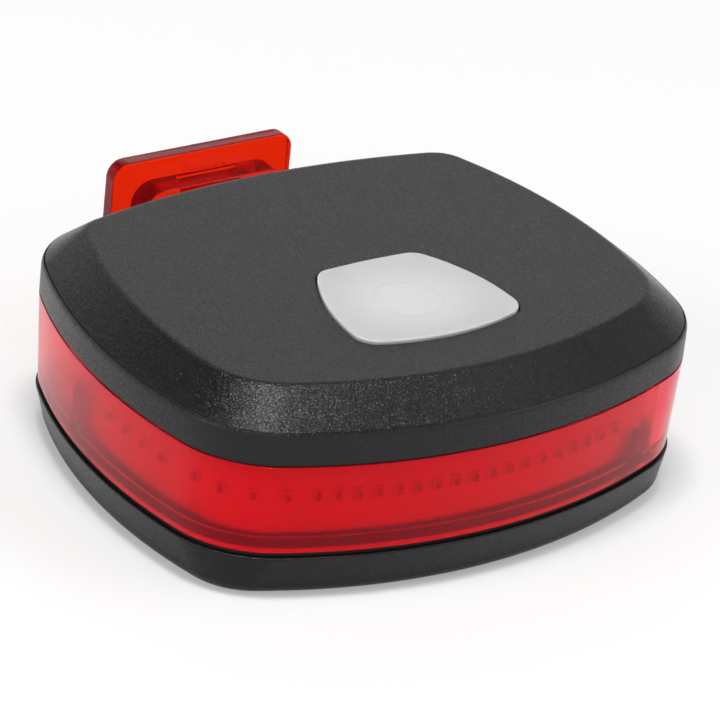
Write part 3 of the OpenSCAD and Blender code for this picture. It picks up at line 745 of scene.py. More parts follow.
def make_tone_drift():
    """Slow change of a colour over the surface."""
    tree, given, out = group(
        "Tone drift",
        [
            ("Color", "NodeSocketColor", (0.5, 0.5, 0.5, 1)),
            ("Amount", "NodeSocketFloat", 0.1),
            ("Scale", "NodeSocketFloat", 200.0),
        ],
        [("Color", "NodeSocketColor")],
    )
    centred = number(tree, "SUBTRACT", clouds(tree, given["Scale"], 4.0), 0.5)
    swing = number(tree, "MULTIPLY_ADD", centred, given["Amount"], 1.0)
    tree.links.new(scaled(tree, given["Color"], swing), out["Color"])


def make_moulded_grain():
    """Height of the fine pebbled grain of moulded plastic."""
    tree, given, out = group(
        "Moulded grain",
        [("Grain size", "NodeSocketFloat", 0.0002)],
        [("Height", "NodeSocketFloat")],
    )
    scale = number(tree, "DIVIDE", 1.0, given["Grain size"])
    values = {"Vector": spot(tree), "Scale": scale, "Randomness": 1.0}
    pebbles = add(tree, "ShaderNodeTexVoronoi", values, feature="SMOOTH_F1")
    height = number(tree, "SUBTRACT", clouds(tree, scale, 3.0), pebbles.outputs["Distance"])
    tree.links.new(height, out["Height"])


def make_sparkling_grain():
    """Grain of many small facets, a few of which tilt enough to catch a far lamp.

    The stretch round the smooth height has no grain.
    """
    tree, given, out = group(
        "Sparkling grain",
        [
            ("Grain size", "NodeSocketFloat", 0.00015),
            ("Calm", "NodeSocketFloat", 0.05),
            ("Wild", "NodeSocketFloat", 0.4),
            ("Smooth height", "NodeSocketFloat", 0.0),
            ("Smooth reach", "NodeSocketFloat", 0.0),
        ],
        [("Normal", "NodeSocketVector")],
    )
    place_on = spot(tree)
    scale = number(tree, "DIVIDE", 1.0, given["Grain size"])
    values = {"Vector": place_on, "Scale": scale, "Randomness": 1.0}
    facets = add(tree, "ShaderNodeTexVoronoi", values)
    tilt = arrow(tree, "MULTIPLY_ADD", facets.outputs["Color"], (2.0, 2.0, 2.0), (-1.0, -1.0, -1.0))
    square = arrow(tree, "MULTIPLY", tilt, tilt)
    cube = arrow(tree, "MULTIPLY", square, tilt)
    lean = arrow(tree, "ADD", scaled(tree, cube, given["Wild"]), scaled(tree, tilt, given["Calm"]))
    height = parts_of(tree, place_on)["Z"]
    flat = number(tree, "COMPARE", height, given["Smooth height"], given["Smooth reach"])
    grained = number(tree, "SUBTRACT", 1.0, flat)
    turned = arrow(tree, "ADD", normal(tree), scaled(tree, lean, grained))
    tree.links.new(arrow(tree, "NORMALIZE", turned), out["Normal"])


def make_handling():
    """Uneven gloss from handling: a roughness that drifts in soft patches."""
    tree, given, out = group(
        "Handling",
        [
            ("Roughness", "NodeSocketFloat", 0.5),
            ("Amount", "NodeSocketFloat", 0.1),
            ("Scale", "NodeSocketFloat", 150.0),
        ],
        [("Roughness", "NodeSocketFloat")],
    )
    centred = number(tree, "SUBTRACT", clouds(tree, given["Scale"], 5.0), 0.5)
    worn = number(tree, "MULTIPLY_ADD", centred, given["Amount"], given["Roughness"])
    tree.links.new(worn, out["Roughness"])


def make_band_and_tongue():
    """Red of the band and of the tongue behind it, with painted shade that deepens the red where the
    tongue's faces turn up, down or sideways.

    Also tells how far along the way back a spot is, and how much it faces sideways.
    """
    tree, given, out = group(
        "Band and tongue",
        [
            ("Band", "NodeSocketColor", (0.9, 0.03, 0.03, 1)),
            ("Tongue", "NodeSocketColor", (0.9, 0.03, 0.0, 1)),
            ("Edge", "NodeSocketColor", (0.3, 0.01, 0.01, 1)),
            ("Start", "NodeSocketFloat", 0.0),
            ("End", "NodeSocketFloat", 0.001),
        ],
        [("Color", "NodeSocketColor"), ("Along", "NodeSocketFloat"), ("Side", "NodeSocketFloat")],
    )
    along = ramp(tree, parts_of(tree, spot(tree))["Y"], given["Start"], given["End"])
    facing = parts_of(tree, normal(tree))
    # Painted shade: faces that don't face front or back take the deeper Edge red.
    face = ramp(tree, number(tree, "ABSOLUTE", facing["Y"]), 0.35, 0.97)
    tongue = blend(tree, face, given["Edge"], given["Tongue"])
    tree.links.new(blend(tree, along, given["Band"], tongue), out["Color"])
    tree.links.new(along, out["Along"])
    tree.links.new(number(tree, "ABSOLUTE", facing["X"]), out["Side"])


def make_painted_rim_shade():
    """A colour that is full in the middle of a pad, with painted shade that darkens it toward its rim."""
    tree, given, out = group(
        "Soft middle",
        [
            ("Color", "NodeSocketColor", (0.6, 0.6, 0.6, 1)),
            ("Middle", "NodeSocketVector", (0.0, 0.0, 0.0)),
            ("Reach", "NodeSocketVector", (0.01, 0.01, 1.0)),
            ("Rim", "NodeSocketFloat", 0.8),
        ],
        [("Color", "NodeSocketColor")],
    )
    moved = arrow(tree, "SUBTRACT", spot(tree), given["Middle"])
    share = arrow(tree, "DIVIDE", moved, given["Reach"])
    away = add(tree, "ShaderNodeVectorMath", {0: share}, operation="LENGTH").outputs["Value"]
    # Painted shade: the colour falls to the Rim share toward the pad's rim.
    rim_shade = ramp(tree, away, 0.2, 1.05, 1.0, given["Rim"], interpolation_type="SMOOTHSTEP")
    tree.links.new(scaled(tree, given["Color"], rim_shade), out["Color"])


# Finishes


def rgba(rgb):
    return (*rgb, 1.0)


def new_material(name):
    """An empty node material with its output."""
    material = bpy.data.materials.new(name)
    material.use_nodes = True
    material.node_tree.nodes.clear()
    return material, material.node_tree, add(material.node_tree, "ShaderNodeOutputMaterial")


def cover(tree, out, values):
    """Gives a material one surface with the given values."""
    surface = add(tree, "ShaderNodeBsdfPrincipled", values)
    tree.links.new(surface.outputs["BSDF"], out.inputs["Surface"])


def plain_finish(name, rgb, roughness, drift=0.2, grain=None, depth=0.0, **shader):
    """A finish with drifting tone and gloss, and with moulded grain where a grain size is given."""
    material, tree, out = new_material(name)
    tone = use_group(tree, "Tone drift", {"Color": rgba(rgb), "Amount": drift, "Scale": 300.0})
    gloss = use_group(tree, "Handling", {"Roughness": roughness, "Amount": 0.2, "Scale": 250.0})
    values = {"Base Color": tone.outputs["Color"], "Roughness": gloss.outputs["Roughness"]}
    if grain:
        pebbles = use_group(tree, "Moulded grain", {"Grain size": grain})
        relief = {"Height": pebbles.outputs["Height"], "Strength": 1.0, "Distance": depth}
        values["Normal"] = add(tree, "ShaderNodeBump", relief).outputs["Normal"]
    cover(tree, out, values | shader)
    return material


def sparkling_plastic(name, rgb, body, shine):
    """Black plastic with a fine grain that sparkles, smooth where it is covered by the red band."""
    material, tree, out = new_material(name)
    tone = use_group(tree, "Tone drift", {"Color": rgba(rgb), "Amount": 0.15, "Scale": 300.0})
    gloss = use_group(tree, "Handling", {"Roughness": 0.3, "Amount": 0.06, "Scale": 250.0})
    grain = use_group(
        tree,
        "Sparkling grain",
        {
            "Grain size": 0.05 * MM,
            "Calm": 0.06,
            "Wild": 0.27,
            "Smooth height": (body.cap_low + body.band_low) / 2,
            "Smooth reach": (body.cap_low - body.band_low) / 2,
        },
    )
    values = {
        "Base Color": tone.outputs["Color"],
        "Roughness": gloss.outputs["Roughness"],
        "Normal": grain.outputs["Normal"],
        "Specular IOR Level": shine,
    }
    cover(tree, out, values)
    return material


def red_lens(name, colours, band_end):
    """Clear red plastic, a little hazy in the band, that lets lamp light through to what is behind it."""
    material, tree, out = new_material(name)
    reds = use_group(
        tree,
        "Band and tongue",
        {
            "Band": rgba(colours.red),
            "Tongue": rgba(colours.tongue),
            # Edge is painted shade on the tongue's turned faces.
            "Edge": rgba(colours.tongue_edge_shade),
            "Start": band_end,
            "End": band_end + 1 * MM,
        },
    )
    tinted = {"Color": reds.outputs["Color"], "Amount": 0.06, "Scale": 120.0}
    tone = use_group(tree, "Tone drift", tinted)
    front_haze, flank_haze, tongue_haze = 0.13, 0.17, 0.02
    band_haze = ramp(tree, reds.outputs["Side"], 0.4, 1.0, front_haze, flank_haze)
    haze = ramp(tree, reds.outputs["Along"], 0.0, 1.0, band_haze, tongue_haze)
    gloss = use_group(tree, "Handling", {"Roughness": haze, "Amount": 0.03, "Scale": 200.0})
    glass = add(
        tree,
        "ShaderNodeBsdfPrincipled",
        {
            "Base Color": tone.outputs["Color"],
            "Roughness": gloss.outputs["Roughness"],
            "IOR": 1.44,
            "Transmission Weight": 0.9,
            "Specular Tint": (0.15, 0.15, 0.15, 1.0),
        },
    )
    clear = add(tree, "ShaderNodeBsdfTransparent", {"Color": (0.98, 0.18, 0.07, 1.0)})
    path = add(tree, "ShaderNodeLightPath")
    both = {0: path.outputs["Is Shadow Ray"], 1: glass.outputs["BSDF"], 2: clear.outputs["BSDF"]}
    mix = add(tree, "ShaderNodeMixShader", both)
    tree.links.new(mix.outputs["Shader"], out.inputs["Surface"])
    return material


def milky_silicone(name, rgb, button):
    """Translucent white silicone, with painted shade that darkens it where it nears the black cap."""
    material, tree, out = new_material(name)
    # Painted shade darkens the milk toward the button's rim.
    middle = use_group(
        tree,
        "Soft middle",
        {
            "Color": rgba(rgb),
            "Middle": (0.0, -button.forward, 0.0),
            "Reach": (button.half_width, button.half_depth, 1.0),
            "Rim": 0.83,
        },
    )
    milk = {"Color": middle.outputs["Color"], "Amount": 0.05, "Scale": 200.0}
    tone = use_group(tree, "Tone drift", milk)
    gloss = use_group(tree, "Handling", {"Roughness": 0.42, "Amount": 0.1, "Scale": 250.0})
    values = {
        "Base Color": tone.outputs["Color"],
        "Roughness": gloss.outputs["Roughness"],
        "Subsurface Weight": 1.0,
        "Subsurface Radius": (1.0, 1.0, 1.0),
        "Subsurface Scale": 0.8 * MM,
    }
    cover(tree, out, values)
    return material


def make_finishes(colours, body, button):
    """Every finish of the light, by its slot in the record, and the tray's own duller black."""
    make_tone_drift()
    make_moulded_grain()
    make_sparkling_grain()
    make_handling()
    make_band_and_tongue()
    make_painted_rim_shade()
    epoxy = {"grain": 0.08 * MM, "depth": 0.006 * MM}
    rubber = {"grain": 0.12 * MM, "depth": 0.012 * MM, "Specular IOR Level": 0.15}
    return {
        "black_plastic": sparkling_plastic("Black moulded plastic", colours.black, body, shine=0.3),
        "tray_plastic": sparkling_plastic("Black tray plastic", colours.black, body, shine=0.22),
        "red_lens": red_lens("Clear red plastic", colours, body.back),
        "milky_silicone": milky_silicone("Milky silicone", colours.milk, button),
        "dark_parts": plain_finish("Moulded epoxy", colours.epoxy, 0.45, **epoxy),
        "white_plastic": plain_finish("White plastic", colours.white, 0.5, drift=0.06),
        "circuit_board": plain_finish("Solder mask", colours.board, 0.35, **{"Coat Weight": 0.3}),
        "lamp_chip": plain_finish("Dark resin", colours.chip, 0.2, **{"Coat Weight": 0.5}),
        "ceramic": plain_finish("Ceramic", colours.ceramic, 0.5),
        "steel": plain_finish("Plated steel", colours.steel, 0.28, drift=0.1, Metallic=1.0),
        "black_rubber": plain_finish("Black rubber", colours.rubber, 0.62, **rubber),
        "white_flex": plain_finish("White solder mask", colours.white, 0.45, drift=0.04),
        "cell_foil": plain_finish("Laminated foil", colours.foil, 0.35, drift=0.12, Metallic=1.0),
        "red_wire": plain_finish("Red insulation", colours.red_wire, 0.4),
        "black_wire": plain_finish("Black insulation", colours.black_wire, 0.4),
    }


FINISHES = {}


def finishes(context):
    """The finishes, made at the first call."""
    if not FINISHES:
        scene = context.scene
        FINISHES.update(
            make_finishes(scene.rear_light_colours, scene.rear_light_body, scene.rear_light_button)
        )
    return FINISHES


def repaint(context, slot, *nodes):
    """Gives solids that stay as they are their finish."""
    for name in nodes:
        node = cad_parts[name]
        node.data.materials.clear()
        node.data.materials.append(finishes(context)[slot])


# Operators


class RearLightStep(Operator):
    """One step of building the rear light"""

    bl_idname = "rear_light.step"
    bl_label = "Step"
    bl_options = {"REGISTER", "UNDO"}

    def execute(self, context):
        self.build(context)
        return {"FINISHED"}

    def build(self, context):
        raise NotImplementedError(self.bl_idname)


class REARLIGHT_OT_cap(RearLightStep):
    """Black cap with its wall, slope, top, button hole and screw bosses"""

    bl_idname = "rear_light.cap"
    bl_label = "Cap"

    def build(self, context):
        scene = context.scene
        body, cap, button = scene.rear_light_body, scene.rear_light_cap, scene.rear_light_button
        tray = scene.rear_light_tray
        form, top = body_form(body), top_form(body, cap)
        ceiling = body.top - cap.cover
        hole = -button.gap
        frame_low = ceiling - button.flange_thickness
        frame_in = -button.flange - button.gap
        frame_out = frame_in - cap.web
        rim = lift(outline(top), body.top)
        line_z = body.shoulder - cap.line_drop
        wall = lift(outline(form), line_z - cap.shoulder_drop)
        shoulder = shoulder_rings(cap, wall, lift(outline(form, cap.line_in), line_z), rim)
        rings = rings_of(form, [(cap.wall, body.cap_low), (0.0, body.cap_low)]) + shoulder + [
            rim,
            button_ring(button, hole, body.top),
            button_ring(button, hole, ceiling),
            button_ring(button, frame_in, ceiling),
            button_ring(button, frame_in, frame_low),
            button_ring(button, frame_out, frame_low),
            button_ring(button, frame_out, ceiling),
            lift(outline(top, cap.top_edge / 2), ceiling),
            lift(outline(form, cap.wall), body.shoulder - cap.cover / 2),
        ]
        small = cap.small_edge
        reaches = [small / 2, small / 2] + [0] * len(shoulder)
        reaches += [cap.top_edge, small, small, 0, small, small, 0, 0, 0]
        shell = skin("top_cover_shell", soften(rings, reaches), closed=True)
        boss = [(cap.boss_radius, tray.post_top), (cap.boss_radius, ceiling + cap.cover / 2)]
        pilot = [
            (cap.pilot_radius, tray.post_top - cap.pilot_radius),
            (cap.pilot_radius, tray.post_top + cap.pilot_depth),
        ]
        combine(shell, at_posts("boss", boss, body, tray), "UNION")
        combine(shell, at_posts("pilot", pilot, body, tray), "DIFFERENCE")
        dress(shell, finishes(context)["black_plastic"], "housing", "black_plastic", "top_cover")


class REARLIGHT_OT_band(RearLightStep):
    """Clear red band, moulded in one with the T-shaped tongue on its back"""

    bl_idname = "rear_light.band"
    bl_label = "Band"

    def build(self, context):
        body, band = context.scene.rear_light_body, context.scene.rear_light_band
        lip_in = band.wall - band.lip
        lip_top = body.band_high + band.lip_rise
        rebate_in = band.wall - band.rebate
        rebate_top = body.band_low + band.rebate_rise
        profile = [
            (band.wall, rebate_top + band.rebate),
            (rebate_in, rebate_top),
            (rebate_in, body.band_low),
            (band.draft, body.band_low),
            (0.0, body.band_high),
            (lip_in, body.band_high),
            (lip_in, lip_top),
            (band.wall, lip_top),
        ]
        edge = band.edge
        reaches = [edge, edge, edge, edge, edge / 2, 0, edge, edge]
        ring = skin("red_band", soften(rings_of(body_form(body), profile), reaches), closed=True)
        combine(ring, self.tongue(body, band), "UNION")
        combine(ring, [self.relief(band)], "DIFFERENCE")
        dress(ring, finishes(context)["red_lens"], "housing", "red_lens", "lens_ring")

    @staticmethod
    def plate_place(band):
        """Front face, middle height and full height of the plate."""
        lowest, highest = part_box("lens_ring")
        plate_front = highest.y - band.plate_thickness
        return plate_front, (lowest.z + highest.z) / 2, highest.z - lowest.z

    def tongue(self, body, band):
        """Plate, pad and root, each made along Z and turned to the front, and the click bump."""
        plate_front, mid_z, plate_height = self.plate_place(band)
        pad_front = plate_front - band.pad_depth
        edge = band.plate_edge
        plate = rounded_block(
            "plate",
            (band.plate_width, plate_height, band.plate_corner),
            (edge, edge),
            (-plate_front - band.plate_thickness, -plate_front),
        )
        pad = rounded_block(
            "pad",
            (band.pad_width, band.pad_height, band.pad_corner),
            (edge, band.pad_edge),
            (-plate_front - edge, -pad_front),
        )
        root = rounded_block(
            "root",
            (band.root_width, body.band_high - body.band_low - 2 * band.root_in, band.root_corner),
            (band.root_edge, band.root_edge),
            (-pad_front - edge, band.wall / 2 - body.back),
        )
        root_z = (body.band_high + body.band_low) / 2
        return [
            place(plate, at(0, 0, mid_z) @ FACING_FRONT),
            place(pad, at(0, 0, mid_z) @ FACING_FRONT),
            place(root, at(0, 0, root_z) @ FACING_FRONT),
            self.bump(band, plate_front, mid_z + band.pad_height / 2),
        ]

    @staticmethod
    def bump(band, plate_front, pad_top):
        """Click bump: a ramp that rises from the plate toward the pad."""
        low_z = pad_top + band.bump_height / 3
        high_z = low_z + band.bump_height
        sunk = plate_front + band.plate_thickness / 4
        crest = plate_front - band.bump_out
        profile = [(sunk, high_z), (plate_front, high_z), (crest, low_z), (sunk, low_z)]
        half = band.bump_width / 2
        end = half + band.bump_height / 2
        level_profile = [(max(y, plate_front), z) for y, z in profile]
        sections = [(-end, level_profile), (-half, profile), (half, profile), (end, level_profile)]
        return skin("bump", [np.array([(x, y, z) for y, z in shape]) for x, shape in sections])

    def relief(self, band):
        """Cutter of the relief slot in the top of the pad."""
        plate_front, mid_z, _ = self.plate_place(band)
        pad_top = mid_z + band.pad_height / 2
        slot = rounded_block(
            "relief",
            (band.relief_length, band.relief_width, band.relief_corner),
            (band.relief_edge, band.relief_edge),
            (pad_top - band.relief_depth, pad_top + band.relief_width / 2),
        )
        return place(slot, at(0, plate_front - 1.5 * band.relief_width, 0))


class REARLIGHT_OT_tray(RearLightStep):
    """Black tray with its locating rib, strip stops, screw posts and port opening"""

    bl_idname = "rear_light.tray"
    bl_label = "Tray"

    def build(self, context):
        scene = context.scene
        body, tray, band = scene.rear_light_body, scene.rear_light_tray, scene.rear_light_band
        door = scene.rear_light_door
        form = body_form(body)
        rib_out = band.wall + tray.rib_gap
        rib_in = rib_out + tray.rib
        rib_top = body.tray_top + tray.rib_rise
        foot_form = form._replace(front_corner=form.front_corner - tray.foot_corner)
        foot = [
            lift(
                outline(foot_form, tray.inset + tray.draft + tray.foot * (1 - math.sin(angle))),
                tray.foot * (1 - math.cos(angle)),
            )
            for angle in np.linspace(0, math.pi / 2, 2 * EDGE_STEPS + 1)
        ]
        top_out = lift(outline(form, tray.inset), body.tray_top)
        top_in = lift(outline(form, rib_out), body.tray_top)
        rim_out = lift(outline(form, rib_out), rib_top - tray.rib_lead)
        rim_in = lift(outline(form, rib_in), rib_top)
        floor = lift(outline(form, rib_in), tray.floor)
        rings = (
            foot
            + bend(foot[-1], top_out, top_in, tray.edge)
            + [top_in]
            + bend(top_in, rim_out, rim_in, tray.edge)
            + bend(rim_out, rim_in, floor, tray.edge)
            + [floor]
        )
        shell = skin("tray_shell", rings)
        combine(shell, self.stops(form, body, tray, rib_out, rib_in) + self.posts(body, tray), "UNION")
        combine(shell, self.holes(body, tray) + self.port(tray, door), "DIFFERENCE")
        dress(shell, finishes(context)["tray_plastic"], "housing", "black_plastic", "base")

    @staticmethod
    def stops(form, body, tray, rib_out, rib_in):
        """Upright wedges on the rib that stop the ends of the lamp strips."""
        made = []
        rib_z = body.tray_top + tray.rib_rise
        low_z = body.tray_top + tray.rib_rise / 5
        crown = tray.stop_crown
        for end, length, rise in (
            (tray.corner_stop_end, tray.corner_stop_length, tray.corner_stop),
            (-tray.side_stop_end, tray.side_stop_length, tray.side_stop),
        ):
            up = np.linspace(-length, -crown, RAMP_STEPS + 1)
            over = np.linspace(-crown, 0, CROWN_STEPS + 1)[1:]
            along = np.concatenate([up, over])
            climb = np.clip((along + length) / (length - crown), 0, 1)
            fall = np.clip((along + crown) / crown, 0, 1) ** 2
            sections = []
            for reach, height in zip(end + along, rib_z + rise * climb - tray.stop_fall * fall):
                x0, y0, _ = arc_length_place(form, rib_out, reach)
                x1, y1, _ = arc_length_place(form, rib_in, reach)
                corners = [(x0, y0, low_z), (x0, y0, height), (x1, y1, height), (x1, y1, low_z)]
                sections.append(np.array(corners))
            made.append(skin("stop", sections))
        return made

    @staticmethod
    def posts(body, tray):
        """Screw posts with a chamfered top."""
        profile = [
            (tray.post_radius, tray.floor / 2),
            (tray.post_radius, tray.post_top - tray.post_edge),
            (tray.post_radius - tray.post_edge, tray.post_top),
        ]
        return at_posts("post", profile, body, tray)

    @staticmethod
    def holes(body, tray):
        """Counterbored screw holes with a chamfered mouth."""
        edge = tray.hole_edge
        profile = [
            (tray.screw_recess + 2 * edge, -edge),
            (tray.screw_recess, edge),
            (tray.screw_recess, tray.screw_seat),
            (tray.screw_hole, tray.screw_seat + HAIR),
            (tray.screw_hole, tray.post_top + edge),
        ]
        return at_posts("hole", profile, body, tray)

    @staticmethod
    def port(tray, door):
        """Recess of the door, with the opening for the socket behind it."""
        middle = (low("port_plug").x + high("port_plug").x) / 2
        width = high("usb_shell").x - low("usb_shell").x + 2 * door.socket_gap
        length = high("usb_shell").y - low("usb_shell").y + 2 * door.socket_gap
        opening = rounded_block(
            "opening",
            (width, length, width / 2 - MICRON),
            (HAIR, HAIR),
            (-door.gap, tray.floor + door.gap),
        )
        recess = skin("recess", door_rings(door, door.gap, -door.gap, door.recess, 0.0))
        return [recess, place(opening, at(middle, 0, 0))]


def door_rings(door, grow, start, end, edge):
    """Rings of the port door: round at the free end, straight at the hinged end."""
    lowest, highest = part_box("port_plug")
    half = (highest.x - lowest.x) / 2 - door.peg_length
    middle = (lowest.x + highest.x) / 2
    hinge = highest.y if grow else highest.y - door.thickness / 2
    round_end = directions(np.linspace(math.pi, 2 * math.pi, 4 * QUARTER_STEPS + 1))

    def outline_at(inset):
        reach = half + grow - inset
        hinge_end = hinge + grow - inset
        corners = [(middle + reach, hinge_end), (middle - reach, hinge_end)]
        return np.concatenate([round_end * reach + (middle, lowest.y + half), corners])

    rings = [lift(outline_at(edge), start), lift(outline_at(0), start + edge), lift(outline_at(0), end)]
    return rings if edge else rings[1:]


class REARLIGHT_OT_button(RearLightStep):
    """Milky push button with its finger dish, flange and nub, and the switch under it"""

    bl_idname = "rear_light.button"
    bl_label = "Button"

    def build(self, context):
        body, button = context.scene.rear_light_body, context.scene.rear_light_button
        lowest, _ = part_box("button_pad")
        ceiling = body.top - context.scene.rear_light_cap.cover
        flange_top = ceiling - button.flange_gap
        flange_low = flange_top - button.flange_thickness
        rim = body.top + button.rise
        skirt = button_ring(button, 0, flange_top)
        edge = button_ring(button, 0, rim)
        inner = button_ring(button, button.edge * 2, rim)
        rings = [
            self.circle(button, button.nub_radius, lowest.z),
            self.circle(button, button.nub_radius, flange_low),
            button_ring(button, -button.flange, flange_low),
            button_ring(button, -button.flange, flange_top),
            skirt,
        ]
        rings += bend(skirt, edge, inner, button.edge, 2 * EDGE_STEPS)
        rings += self.dish(button, rim)
        pad = skin("button_pad_soft", rings)
        dress(pad, finishes(context)["milky_silicone"], "button", "milky_silicone", "button_pad")
        repaint(context, "white_plastic", "switch_stem")
        repaint(context, "dark_parts", "switch_body")

    @staticmethod
    def circle(button, radius, height):
        bearings = np.linspace(-math.pi / 2, 1.5 * math.pi, OUTLINE_POINTS, endpoint=False)
        return lift(directions(bearings) * radius - (0.0, button.forward), height)

    def dish(self, button, rim):
        """Rings from the rim to the middle: the dish, with a faint ring pressed into it."""
        rim_width = 1.2 * button.edge
        outer = button_ring(button, rim_width, rim)
        mark_out = button.mark_radius + button.mark_width / 2
        mark_in = mark_out - button.mark_width
        mark = self.circle(button, mark_out, rim)
        mark_z = rim - button.mark_share * button.dish
        rings = []
        for share in np.linspace(0, 1, DISH_STEPS + 1):
            ring = outer * (1 - share) + mark * share
            ring[:, 2] = rim - (rim - mark_z) * (1 - (1 - share) ** 2)
            rings.append(ring)
        for share in np.linspace(0, 1, MARK_STEPS + 1)[1:]:
            press = button.mark_depth * math.sin(math.pi * share) ** 2
            rings.append(self.circle(button, mark_out - button.mark_width * share, mark_z - press))
        floor_z = rim - button.dish
        pin = 0.02 * mark_in
        for share in np.linspace(0, 1, MIDDLE_STEPS + 1)[1:]:
            radius = mark_in + (pin - mark_in) * share
            rings.append(self.circle(button, radius, mark_z + (floor_z - mark_z) * share))
        return rings


class REARLIGHT_OT_lamps(RearLightStep):
    """White carrier, the two lamp strips on it and the lamp chips"""

    bl_idname = "rear_light.lamps"
    bl_label = "Lamps"

    def build(self, context):
        scene = context.scene
        body, lamps = scene.rear_light_body, scene.rear_light_lamps
        form = body_form(body)
        self.carrier(context, form, lamps)
        mid_z = (low("led_chips").z + high("led_chips").z) / 2
        for name, start, end in (
            ("led_strip_front", lamps.front_start, lamps.front_end),
            ("led_strip_side", lamps.side_start, lamps.side_end),
        ):
            strip = self.strip(name + "_flex", form, lamps, mid_z, start, end)
            combine(strip, [self.tail(name, lamps, mid_z)], "UNION")
            dress(strip, finishes(context)["white_flex"], "housing", "white_flex", name)
        self.chips(context, form, lamps, mid_z)

    @staticmethod
    def carrier(context, form, lamps):
        """White ring behind the strips, with a ledge and two lugs under the board."""
        lowest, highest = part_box("led_carrier")
        outer = lamps.strip_in + lamps.strip
        inner = outer + lamps.carrier
        ledge_in = inner + lamps.ledge
        board_z = low("main_board").z
        ledge_z = board_z - lamps.ledge_height
        profile = [
            (inner, lowest.z),
            (outer, lowest.z),
            (outer, highest.z),
            (inner, highest.z),
            (inner, board_z),
            (ledge_in, board_z),
            (ledge_in, ledge_z),
            (inner, ledge_z),
        ]
        edge = lamps.carrier_edge
        reaches = [edge, edge, edge, edge, 0, edge, edge, 0]
        rings = soften(rings_of(form, profile), reaches, EDGE_STEPS // 2)
        shell = skin("led_carrier_shell", rings, closed=True)
        screws_low, screws_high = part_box("board_screws")
        lug_x = (screws_high.x - screws_low.x) / 2 - lamps.screw_head
        lug_y = (screws_low.y + screws_high.y) / 2
        profile = [(lamps.lug_radius, board_z - lamps.lug_height), (lamps.lug_radius, board_z)]
        lugs = [place(lathe("lug", profile), at(side * lug_x, lug_y, 0)) for side in (-1, 1)]
        combine(shell, lugs, "UNION")
        dress(shell, finishes(context)["white_plastic"], "housing", "white_plastic", "led_carrier")

    @staticmethod
    def strip(name, form, lamps, mid_z, start, end):
        """Thin band between two bearings seen from the body's middle."""
        face = outline(form, lamps.strip_in)
        back = outline(form, lamps.strip_in + lamps.strip)
        past_start = (np.arctan2(face[:, 1], face[:, 0]) - start) % (2 * math.pi)
        inside = past_start <= end - start
        order = np.argsort(past_start[inside])
        low_z, high_z = mid_z - lamps.strip_height / 2, mid_z + lamps.strip_height / 2
        sections = [
            np.array([(*f, low_z), (*f, high_z), (*b, high_z), (*b, low_z)])
            for f, b in zip(face[inside][order], back[inside][order])
        ]
        return skin(name, sections)

    @staticmethod
    def tail(name, lamps, mid_z):
        """Upright tail of a strip that folds over the carrier onto the board."""
        lowest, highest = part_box(name)
        at_right = highest.x > -lowest.x
        out_x = highest.x if at_right else lowest.x
        inward = -1 if at_right else 1
        thin_x = out_x + inward * lamps.strip
        fold_x = out_x + inward * lamps.fold
        under_z = highest.z - lamps.strip
        fold = [
            (out_x, mid_z),
            (out_x, highest.z),
            (fold_x, highest.z),
            (fold_x, under_z),
            (thin_x, under_z),
            (thin_x, mid_z),
        ]
        sections = [np.array([(x, y, z) for x, z in fold]) for y in (-lamps.tail, 0.0)]
        return skin("tail", sections)

    def chips(self, context, form, lamps, mid_z):
        """A row of chips along the front, the left corner and both flanks."""
        edge = (lamps.front_count - 1) / 2 * lamps.front_pitch
        lengths = [i * lamps.front_pitch - edge for i in range(lamps.front_count)]
        flank = [
            edge + i * lamps.side_pitch + (lamps.corner_step if i > lamps.corner_count else 0.0)
            for i in range(1, lamps.side_count + 1)
        ]
        lengths += [-length for length in flank] + flank[lamps.corner_count - 1 :]
        windows, bases = [], []
        for length in lengths:
            x, y, angle = arc_length_place(form, lamps.strip_in, length)
            turned = at(x, y, mid_z) @ Matrix.Rotation(angle, 4, "Z") @ FACING_RIGHT
            bases.append(place(self.chip_base(lamps), turned))
            windows.append(place(self.chip_window(lamps), turned))
        window = join("led_chip_windows", windows)
        dress(window, finishes(context)["lamp_chip"], "housing", "lamp_chip", "led_chips")
        base = join("led_chip_bases", bases)
        dress(base, finishes(context)["white_plastic"], "housing", "white_plastic")

    @staticmethod
    def chip_base(lamps):
        """White base of a lamp chip."""
        return rounded_block(
            "chip_base",
            (lamps.chip_height, lamps.chip_width, lamps.chip_corner),
            (HAIR, lamps.chip_edge),
            (0.0, lamps.base_height),
        )

    @staticmethod
    def chip_window(lamps):
        """Dark window on the base of a lamp chip."""
        return rounded_block(
            "chip_window",
            (lamps.window_height, lamps.window_width, lamps.window_corner),
            (HAIR, lamps.window_edge),
            (lamps.base_height - lamps.window_sunk, lamps.chip_out),
        )


class REARLIGHT_OT_port_door(RearLightStep):
    """Rubber door of the charging port, with its hinge barrel and stub"""

    bl_idname = "rear_light.port_door"
    bl_label = "Port door"

    def build(self, context):
        door = context.scene.rear_light_door
        lowest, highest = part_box("port_plug")
        middle = (lowest.x + highest.x) / 2
        half = (highest.x - lowest.x) / 2
        barrel_half = half - door.peg_length
        radius = door.thickness / 2
        slab = skin("port_door_soft", door_rings(door, 0.0, 0.0, door.thickness, door.edge))
        barrel = lathe("barrel", [(radius, -barrel_half), (radius, barrel_half)])
        pegs = lathe("pegs", [(door.peg_radius, -half), (door.peg_radius, half)])
        stub = rounded_block(
            "stub",
            (door.stub_width, door.stub_length, door.stub_width / 2 - MICRON),
            (HAIR, door.stub_edge),
            (radius, highest.z),
        )
        on_hinge = at(middle, highest.y - radius, radius) @ FACING_RIGHT
        others = [place(barrel, on_hinge), place(pegs, on_hinge), place(stub, at(middle, 0, 0))]
        combine(slab, others, "UNION")
        dress(slab, finishes(context)["black_rubber"], "port_door", "black_rubber", "port_plug")


